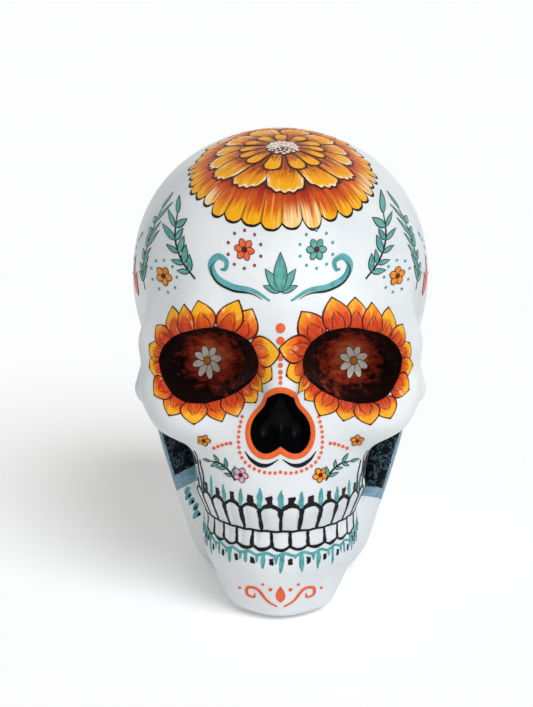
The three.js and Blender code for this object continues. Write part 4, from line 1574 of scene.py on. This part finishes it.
class SKULL_OT_teeth(bpy.types.Operator):
    """Black outlines of both rows of teeth, with the teal and black strokes above and below"""

    bl_idname = "skull.teeth"
    bl_label = "Teeth"

    # Places along the rows: gaps and middles of the upper teeth, which are middles and gaps of the lower
    LAST = 6
    PITCH = TOOTH_PITCH * JAW_HALF[0]
    END = LAST * PITCH
    GAPS = PITCH * np.arange(-LAST, LAST + 1)
    MIDDLES = PITCH * (np.arange(-LAST, LAST) + 0.5)
    # Heights of the bite, of the upper row's top and of the lower row's foot
    BITE = 0.2235 * HEIGHT
    TOP = 0.274 * HEIGHT
    LOW = 0.19 * HEIGHT
    # Shares along a stroke, from its start and from its middle
    COUNT = 16
    STEP = np.linspace(0, 1, COUNT)
    ARCH = np.linspace(-1, 1, COUNT)

    def execute(self, context):
        rng = np.random.default_rng(5)
        along = np.linspace(-self.END, self.END, 120)
        black = Coat()
        self.outlines(black, rng, along)
        self.dark_strokes(black, rng)
        black.make("paint_tooth_lines", stroke_paint("black_paint"))
        teal = Coat()
        self.teal_strokes(teal, rng, along)
        for side in (-1, 1):
            for u in np.linspace(38.0, 57.0, 8):
                self.drop(teal, rng, jaw_chart, side, u, 31.0 + 0.2 * u)
        for share in np.linspace(0, 1, 5):
            self.drop(teal, rng, front_chart, -1, 44.0 - 5.4 * share, 48.0 - 11.0 * share)
        teal.make("paint_tooth_strokes", stroke_paint("teal_paint"))
        return {"FINISHED"}

    def outlines(self, black, rng, along):
        """Lines between the teeth, arches over and under them, roots, and the line of the bite."""
        line = brushes().tooth_line
        step, arch = self.STEP, self.ARCH
        half = arch * self.PITCH / 2
        swell = line * (0.85 + 0.15 * np.cos(np.pi * arch))
        to_top, to_low = self.TOP - self.BITE, self.LOW - self.BITE
        for u in self.GAPS:
            self.brush(black, rng, u + 0 * step, self.BITE + to_top * step, line * (0.7 + 0.4 * step))
        for u in self.MIDDLES:
            self.brush(black, rng, u + half, self.TOP + 2.6 * (1 - np.abs(arch) ** 2.2), 1.15 * swell)
            self.brush(black, rng, u + 0 * step, self.TOP + 2.2 + 4.6 * step, line * (1.2 + 0.3 * step))
            self.brush(black, rng, u + 0 * step, self.BITE + to_low * step, line * (0.6 + 0.35 * step))
        for u in self.GAPS[1:-1]:
            self.brush(black, rng, u + half, self.LOW - 1.7 * (1 - np.abs(arch) ** 2), swell)
        bite_line = np.column_stack((along, self.BITE + 0.15 * np.sin(along * 0.9)))
        black.add(jaw_chart, *strokes(bite_line, 1.0 * self.thin(along)), lift=0.32)

    def dark_strokes(self, black, rng):
        """Dabs under the lower row and behind it, and thin lines up from the last teeth."""
        step = self.STEP
        for u in self.MIDDLES:
            self.brush(black, rng, u + 0 * step, self.LOW - 5.6 - 2.8 * step, 1.7 + 0 * step)
        foot = self.TOP + 2.0
        for side in (-1, 1):
            for u in np.linspace(41.0, 55.0, 5):
                self.brush(black, rng, side * u + 0 * step, 29.5 + 0.18 * u - 2.6 * step, 3.0 + 0 * step)
            for u, end in ((37.0, 75.0), (40.0, 79.0)):
                shake = 0.45 * np.cos(8 * step + u)
                self.brush(black, rng, side * (u + shake), foot + (end - foot) * step, 2.0 - 1.0 * step)
        for share in np.linspace(0, 1, 4):
            spot = (-42.6 + 4.4 * share, 44.6 - 9.0 * share) + (-1.1, -2.0) * step[:, None]
            patch = strokes(spot, tapered(self.COUNT, 1.3, 0.6, 0.4))
            black.add(front_chart, *patch, tint=rng.uniform(), lift=0.28)

    def teal_strokes(self, teal, rng, along):
        """Spikes between the roots, and a wavy line with long and short drips under the lower row."""
        step = self.STEP
        for u in self.GAPS[1:-1]:
            tall = rng.uniform(7.0, 10.5)
            lean = rng.uniform(-0.7, 0.7) * step
            spike = tapered(self.COUNT, 2.2, 0.6, 0.15)
            self.brush(teal, rng, u + lean, self.TOP + 1.4 + tall * step, spike)
        wave = np.column_stack((along, self.LOW - 3.7 + 0.6 * np.sin(along * 2 * np.pi / self.PITCH)))
        teal.add(jaw_chart, *strokes(wave, 1.3 * self.thin(along)), lift=0.2)
        foot = self.LOW - 3.6
        for u in self.GAPS + 0.1 * self.PITCH:
            tall = rng.uniform(4.5, 9.0)
            lean = rng.uniform(-0.5, 0.5) * step
            self.brush(teal, rng, u + lean, foot - tall * step, tapered(self.COUNT, 1.9, 0.8, 0.4))
        for u in self.MIDDLES + 0.28 * self.PITCH:
            tall = rng.uniform(2.0, 4.5)
            self.brush(teal, rng, u + 0 * step, foot - tall * step, tapered(self.COUNT, 1.4, 0.8, 0.3))

    def drop(self, coat, rng, chart, side, u, v):
        """A teal drop that falls from a place behind the teeth."""
        start = np.array((side * u, v)) + rng.uniform(-0.6, 0.6, 2)
        fall = rng.uniform(4.2, 6.0) * self.STEP[:, None] * (side * 0.42, -0.9)
        patch = strokes(start + fall, tapered(self.COUNT, 2.2, 0.6, 0.25))
        coat.add(chart, *patch, tint=rng.uniform(), lift=0.24)

    def thin(self, u):
        """Strokes get thinner towards the ends of the rows."""
        return 0.45 + 0.55 * np.cos(np.clip(np.abs(u) / self.END, 0, 1) * np.pi / 2)

    def brush(self, coat, rng, u, v, width):
        """One stroke by hand: its path and its width waver a little."""
        path = np.column_stack((u, v)) + rng.normal(0, 0.05, (self.COUNT, 2)).cumsum(axis=0)
        uneven = 1 + 0.12 * np.convolve(rng.normal(0, 1, self.COUNT + 4), np.ones(5) / 2.2, "valid")
        lift = 0.22 + rng.uniform(0, 0.06)
        patch = strokes(path, width * uneven * self.thin(u[self.COUNT // 2]))
        coat.add(jaw_chart, *patch, tint=rng.uniform(), lift=lift)


class SKULL_OT_rosettes(bpy.types.Operator):
    """Small rosettes on the floors of the eye sockets"""

    bl_idname = "skull.rosettes"
    bl_label = "Rosettes"

    def execute(self, context):
        rng = np.random.default_rng(23)
        pale, gold = Coat(), Coat()
        for side in (-1, 1):
            place = np.array((side * EYE[0], EYE[1] - 5.5))
            blossom(pale, gold, front_chart, place, 7.0, 8, rng)
        pale.make("paint_rosette_petals", stroke_paint("rosette_paint"))
        gold.make("paint_rosette_gold", stroke_paint("gold_paint"))
        return {"FINISHED"}


class SKULL_OT_sprigs(bpy.types.Operator):
    """Leaves in a fan on the forehead, and sprigs on forehead, temples and cheeks"""

    bl_idname = "skull.sprigs"
    bl_label = "Sprigs"

    # A fan of leaves over the nose
    FAN_FOOT = (0.0, 157.0)
    FAN_HEADINGS = np.array((0.0, -0.62, 0.62, -1.25, 1.25))
    FAN_LENGTHS = np.array((16.0, 11.5, 11.5, 8.0, 8.0))
    FAN_LIFTS = (0.3, 0.27, 0.27, 0.24, 0.24)
    # Knots of the sprigs: across and up on the right of the face, back and up on the flanks
    FOREHEAD = np.array(((37.0, 160.0), (43.0, 166.0), (46.5, 174.0), (46.0, 183.0)))
    CHEEK = np.array(((20.0, 70.5), (23.0, 74.5), (27.0, 76.8), (31.0, 76.6)))
    TEMPLE = ((-42, 148), (-37, 158), (-33, 170), (-25, 182))
    EAR = ((-44, 138), (-36, 131), (-29, 121), (-26, 109))
    PAIR_FOOT = (-19.0, 140.0)

    def execute(self, context):
        rng = np.random.default_rng(31)
        stems, leaves, coral = Coat(), Coat(), Coat()
        feet = np.tile(self.FAN_FOOT, (5, 1))
        fan = petals(feet, self.FAN_HEADINGS, self.FAN_LENGTHS, 0.38 * self.FAN_LENGTHS, leaf, None, 14, 9)
        leaves.add(front_chart, *fan, tint=rng.uniform(0, 1, 5), lift=self.FAN_LIFTS)
        for side in (-1, 1):
            sprig(stems, leaves, front_chart, self.FOREHEAD * (side, 1), 5, 7.0, rng)
            sprig(stems, leaves, front_chart, self.CHEEK * (side, 1), 3, 4.6, rng)
            flank = side_chart(side)
            sprig(stems, leaves, flank, self.TEMPLE, 6, 8.5, rng)
            sprig(stems, leaves, flank, self.EAR, 6, 7.5, rng)
            feet = np.tile(self.PAIR_FOOT, (2, 1))
            pair = petals(feet, (0.3, -0.45), (19.0, 14.0), (6.4, 5.2), leaf, None, 14, 9)
            coral.add(flank, *pair, tint=rng.uniform(0, 1, 2), lift=(0.2, 0.25))
        stems.make("paint_sprig_stems", stroke_paint("black_paint"))
        leaves.make("paint_sprig_leaves", stroke_paint("leaf_paint"))
        coral.make("paint_coral_leaves", stroke_paint("coral_leaf_paint"))
        return {"FINISHED"}


class SKULL_OT_scrolls(bpy.types.Operator):
    """Teal scrolls over the brows and coral scrolls on the chin"""

    bl_idname = "skull.scrolls"
    bl_label = "Scrolls"

    # Knots for the right side, across and up
    BROW = np.array((
        (4.5, 153.5), (12.0, 157.5), (20.5, 158.5), (27.5, 161.5), (30.0, 166.5), (27.0, 170.0),
        (23.4, 168.5), (23.8, 165.3), (25.8, 165.1),
    ))
    CHIN = np.array((
        (1.5, 9.0), (6.0, 12.0), (10.5, 17.8), (14.8, 17.4), (15.0, 13.4), (11.9, 12.8), (11.6, 15.0),
    ))
    CHIN_DOTS = np.array(((4.5, 18.5), (8.0, 21.0), (18.5, 16.0)))
    CHIN_DROP = (0.0, 11.5)

    def execute(self, context):
        teal, coral, black = Coat(), Coat(), Coat()
        for side in (-1, 1):
            line = curve_through(self.BROW * (side, 1), 72)
            teal.add(front_chart, *strokes(line, tapered(72, 2.8, 0.3, 0.3), 7), lift=0.22)
            black.add(front_chart, *strokes(line[4:44] - (0, 1.5), tapered(40, 0.9, 0.2, 0.1)), lift=0.26)
            line = curve_through(self.CHIN * (side, 1), 56)
            coral.add(front_chart, *strokes(line, tapered(56, 1.5, 0.5, 0.4), 7), lift=0.22)
            coral.add(front_chart, *dots(self.CHIN_DOTS * (side, 1), (0.9, 0.7, 0.7)), lift=0.22)
        coral.add(front_chart, *petals(self.CHIN_DROP, 0.0, 9.0, 4.4, leaf), lift=0.22)
        teal.make("paint_brow_scrolls", stroke_paint("teal_paint"))
        black.make("paint_brow_lines", stroke_paint("black_paint"))
        coral.make("paint_chin_scrolls", stroke_paint("coral_paint"))
        return {"FINISHED"}


class SKULL_OT_blossoms(bpy.types.Operator):
    """Small blossoms with rings of dots on forehead, temples and cheeks"""

    bl_idname = "skull.blossoms"
    bl_label = "Blossoms"

    # Places for the right side, across and up
    FOREHEAD = (15.5, 173.5)
    TEMPLE = (51.5, 158.0)
    CHEEK = (34.0, 87.0)
    LIP = (17.5, 73.5)

    def execute(self, context):
        rng = np.random.default_rng(43)
        coral, teal, gold, rose, dark, blue = (Coat() for _ in range(6))
        step = np.linspace(0, 4, 6)
        row = np.column_stack((np.linspace(-14, -4, 6), 168 - 1.3 * step**2))
        for side, flowers, beads in ((-1, coral, coral), (1, teal, blue)):
            forehead, temple, cheek = ((side * x, z) for x, z in (self.FOREHEAD, self.TEMPLE, self.CHEEK))
            blossom(flowers, dark, front_chart, forehead, 4.6, 6, rng)
            bead_ring(beads, front_chart, forehead, 7.4, 10, 0.65)
            blossom(gold, dark, front_chart, temple, 4.0, 5, rng)
            bead_ring(blue, front_chart, temple, 6.3, 9, 0.6)
            blossom(gold, dark, front_chart, cheek, 3.3, 5, rng)
            blue.add(side_chart(side), *dots(row, np.linspace(1.2, 0.7, 6)), lift=0.22)
        for side, flowers in ((-1, rose), (1, gold)):
            blossom(flowers, dark, front_chart, (side * self.LIP[0], self.LIP[1]), 3.6, 5, rng)
        coral.make("paint_coral_blossoms", stroke_paint("coral_leaf_paint"))
        teal.make("paint_teal_blossoms", stroke_paint("leaf_paint"))
        gold.make("paint_gold_blossoms", stroke_paint("gold_paint"))
        rose.make("paint_rose_blossoms", stroke_paint("rose_paint"))
        dark.make("paint_blossom_hearts", stroke_paint("umber_paint"))
        blue.make("paint_teal_dots", stroke_paint("teal_paint"))
        return {"FINISHED"}


class SKULL_OT_stage(bpy.types.Operator):
    """Pale floor, soft light and the camera"""

    bl_idname = "skull.stage"
    bl_label = "Stage"

    # The lamps: place in metres, width in degrees, strength and colour
    COOL = (0.97, 0.985, 1.0)
    KEY = ((0.52, -0.82, 1.06), 36, 2.0, COOL)
    FILL = ((0.1, -1.0, 0.1), 60, 0.48, COOL)
    AIM = Vector((0, 0, 0.1))
    # The room's light, a little warm, what the floor adds where it is looked at, and half the floor's side
    ROOM = dict(Red=0.335, Green=0.328, Blue=0.308)
    FLOOR_LIFT = 0.225
    FLOOR_HALF = 6000.0
    # The photograph's width, focal length and shift in pixels, then the camera's distance, angle and aim
    PHOTO_WIDTH = 533
    FOCAL = 1877
    SHIFT = (-14, 4)
    SENSOR = 36.0
    DISTANCE = 0.9
    ELEVATION = 15
    AIM_Z = 0.105

    def execute(self, context):
        scene = context.scene
        scene.view_settings.view_transform = "Standard"
        floor = piece_from("floor", self.plain_floor())
        floor.data.materials.append(self.paper())
        self.room(scene)
        self.lamp("key", *self.KEY)
        self.lamp("fill", *self.FILL)
        self.camera(scene)
        return {"FINISHED"}

    def room(self, scene):
        """Even light from all round, and a white room to look at and to mirror."""
        world = bpy.data.worlds.new("studio")
        world.use_nodes = True
        scene.world = world
        tree = world.node_tree
        light = tree.nodes.new("ShaderNodeCombineColor")
        for channel, lighting in self.ROOM.items():
            tree.links.new(self.level(tree, lighting, 1.0), light.inputs[channel])
        tree.links.new(light.outputs["Color"], tree.nodes["Background"].inputs["Color"])

    def level(self, tree, lighting, seen):
        """One strength for lighting, another for what the camera, gloss and glass see."""
        ray = tree.nodes.new("ShaderNodeLightPath").outputs
        for_eye = ray["Is Camera Ray"]
        for name in ("Is Glossy Ray", "Is Transmission Ray"):
            either = tree.nodes.new("ShaderNodeMath")
            either.operation = "MAXIMUM"
            tree.links.new(for_eye, either.inputs[0])
            tree.links.new(ray[name], either.inputs[1])
            for_eye = either.outputs["Value"]
        level = tree.nodes.new("ShaderNodeMapRange")
        level.inputs["To Min"].default_value = lighting
        level.inputs["To Max"].default_value = seen
        tree.links.new(for_eye, level.inputs["Value"])
        return level.outputs["Result"]

    def plain_floor(self):
        """A flat square that runs out of the picture on all sides."""
        side = np.linspace(-self.FLOOR_HALF, self.FLOOR_HALF, 5)
        points = np.stack(np.broadcast_arrays(side, side[:, None] - FRAME_Y, 0.0), axis=-1)
        return mesh_from("floor", points.reshape(-1, 3), grid_quads(5, 5).tolist())

    def paper(self):
        """White paper with a faint tooth, lifted to white where it is looked at."""
        paper = Finish("backdrop_paper", Roughness=0.9, Specular_IOR_Level=0.1)
        cloud = paper.noise(paper.place(), 3.0, 2.0)
        paper.put("Base Color", paper.mix(cloud, linear(247, 248, 250), linear(251, 252, 253)))
        paper.put("Normal", paper.bump(paper.noise(paper.place(), 700.0), 0.0002, 0.1))
        paper.put("Emission Color", (1.0, 1.0, 1.0))
        paper.put("Emission Strength", self.level(paper.tree, 0.0, self.FLOOR_LIFT))
        return paper.material

    def lamp(self, name, place, width, power, colour):
        """A soft light from far away that shines on the middle of the skull from a place's direction."""
        data = bpy.data.lights.new(name, "SUN")
        data.angle = math.radians(width)
        data.energy = power
        data.color = colour
        lamp = piece_from(name, data)
        lamp.location = place
        lamp.rotation_euler = (self.AIM - Vector(place)).to_track_quat("-Z", "Y").to_euler()

    def camera(self, scene):
        """The photograph's camera: a long lens in front of the face, a little above it."""
        rise = math.radians(self.ELEVATION)
        data = bpy.data.cameras.new("camera")
        data.sensor_fit = "HORIZONTAL"
        data.sensor_width = self.SENSOR
        data.lens = self.SENSOR * self.FOCAL / self.PHOTO_WIDTH
        data.shift_x, data.shift_y = (pixels / self.PHOTO_WIDTH for pixels in self.SHIFT)
        camera = piece_from("camera", data)
        target = Vector((0.0, FRAME_Y / 1000, self.AIM_Z))
        back = Vector((0.0, -math.cos(rise), math.sin(rise)))
        camera.location = target + self.DISTANCE * back
        camera.rotation_euler = (-back).to_track_quat("-Z", "Y").to_euler()
        scene.camera = camera


class SKULL_PT_sidebar(bpy.types.Panel):
    """The skull's pieces and settings"""

    bl_idname = "SKULL_PT_sidebar"
    bl_label = "Sugar Skull"
    bl_space_type = "VIEW_3D"
    bl_region_type = "UI"
    bl_category = "Sugar Skull"

    def draw(self, context):
        column = self.layout.column()
        for operator in OPERATORS:
            column.operator(operator.bl_idname)
        for settings in (context.scene.skull_brushes, context.scene.skull_colours):
            for name in settings.__annotations__:
                column.prop(settings, name)


OPERATORS = (
    SKULL_OT_stage,
    SKULL_OT_face_shell,
    SKULL_OT_back_shell,
    SKULL_OT_base_pieces,
    SKULL_OT_eye_petals,
    SKULL_OT_crown_marigold,
    SKULL_OT_nose_paint,
    SKULL_OT_teeth,
    SKULL_OT_rosettes,
    SKULL_OT_sprigs,
    SKULL_OT_scrolls,
    SKULL_OT_blossoms,
)
CLASSES = (SkullColours, SkullBrushes) + OPERATORS + (SKULL_PT_sidebar,)


def register():
    """Registers the classes and the scene's settings."""
    for item in CLASSES:
        bpy.utils.register_class(item)
    bpy.types.Scene.skull_colours = PointerProperty(type=SkullColours)
    bpy.types.Scene.skull_brushes = PointerProperty(type=SkullBrushes)


def unregister():
    """Takes the settings and the classes away again."""
    del bpy.types.Scene.skull_brushes
    del bpy.types.Scene.skull_colours
    for item in reversed(CLASSES):
        bpy.utils.unregister_class(item)


def main():
    """Builds the skull piece by piece."""
    register()
    for operator in OPERATORS:
        group, name = operator.bl_idname.split(".")
        getattr(getattr(bpy.ops, group), name)()


if __name__ == "__main__":
    main()
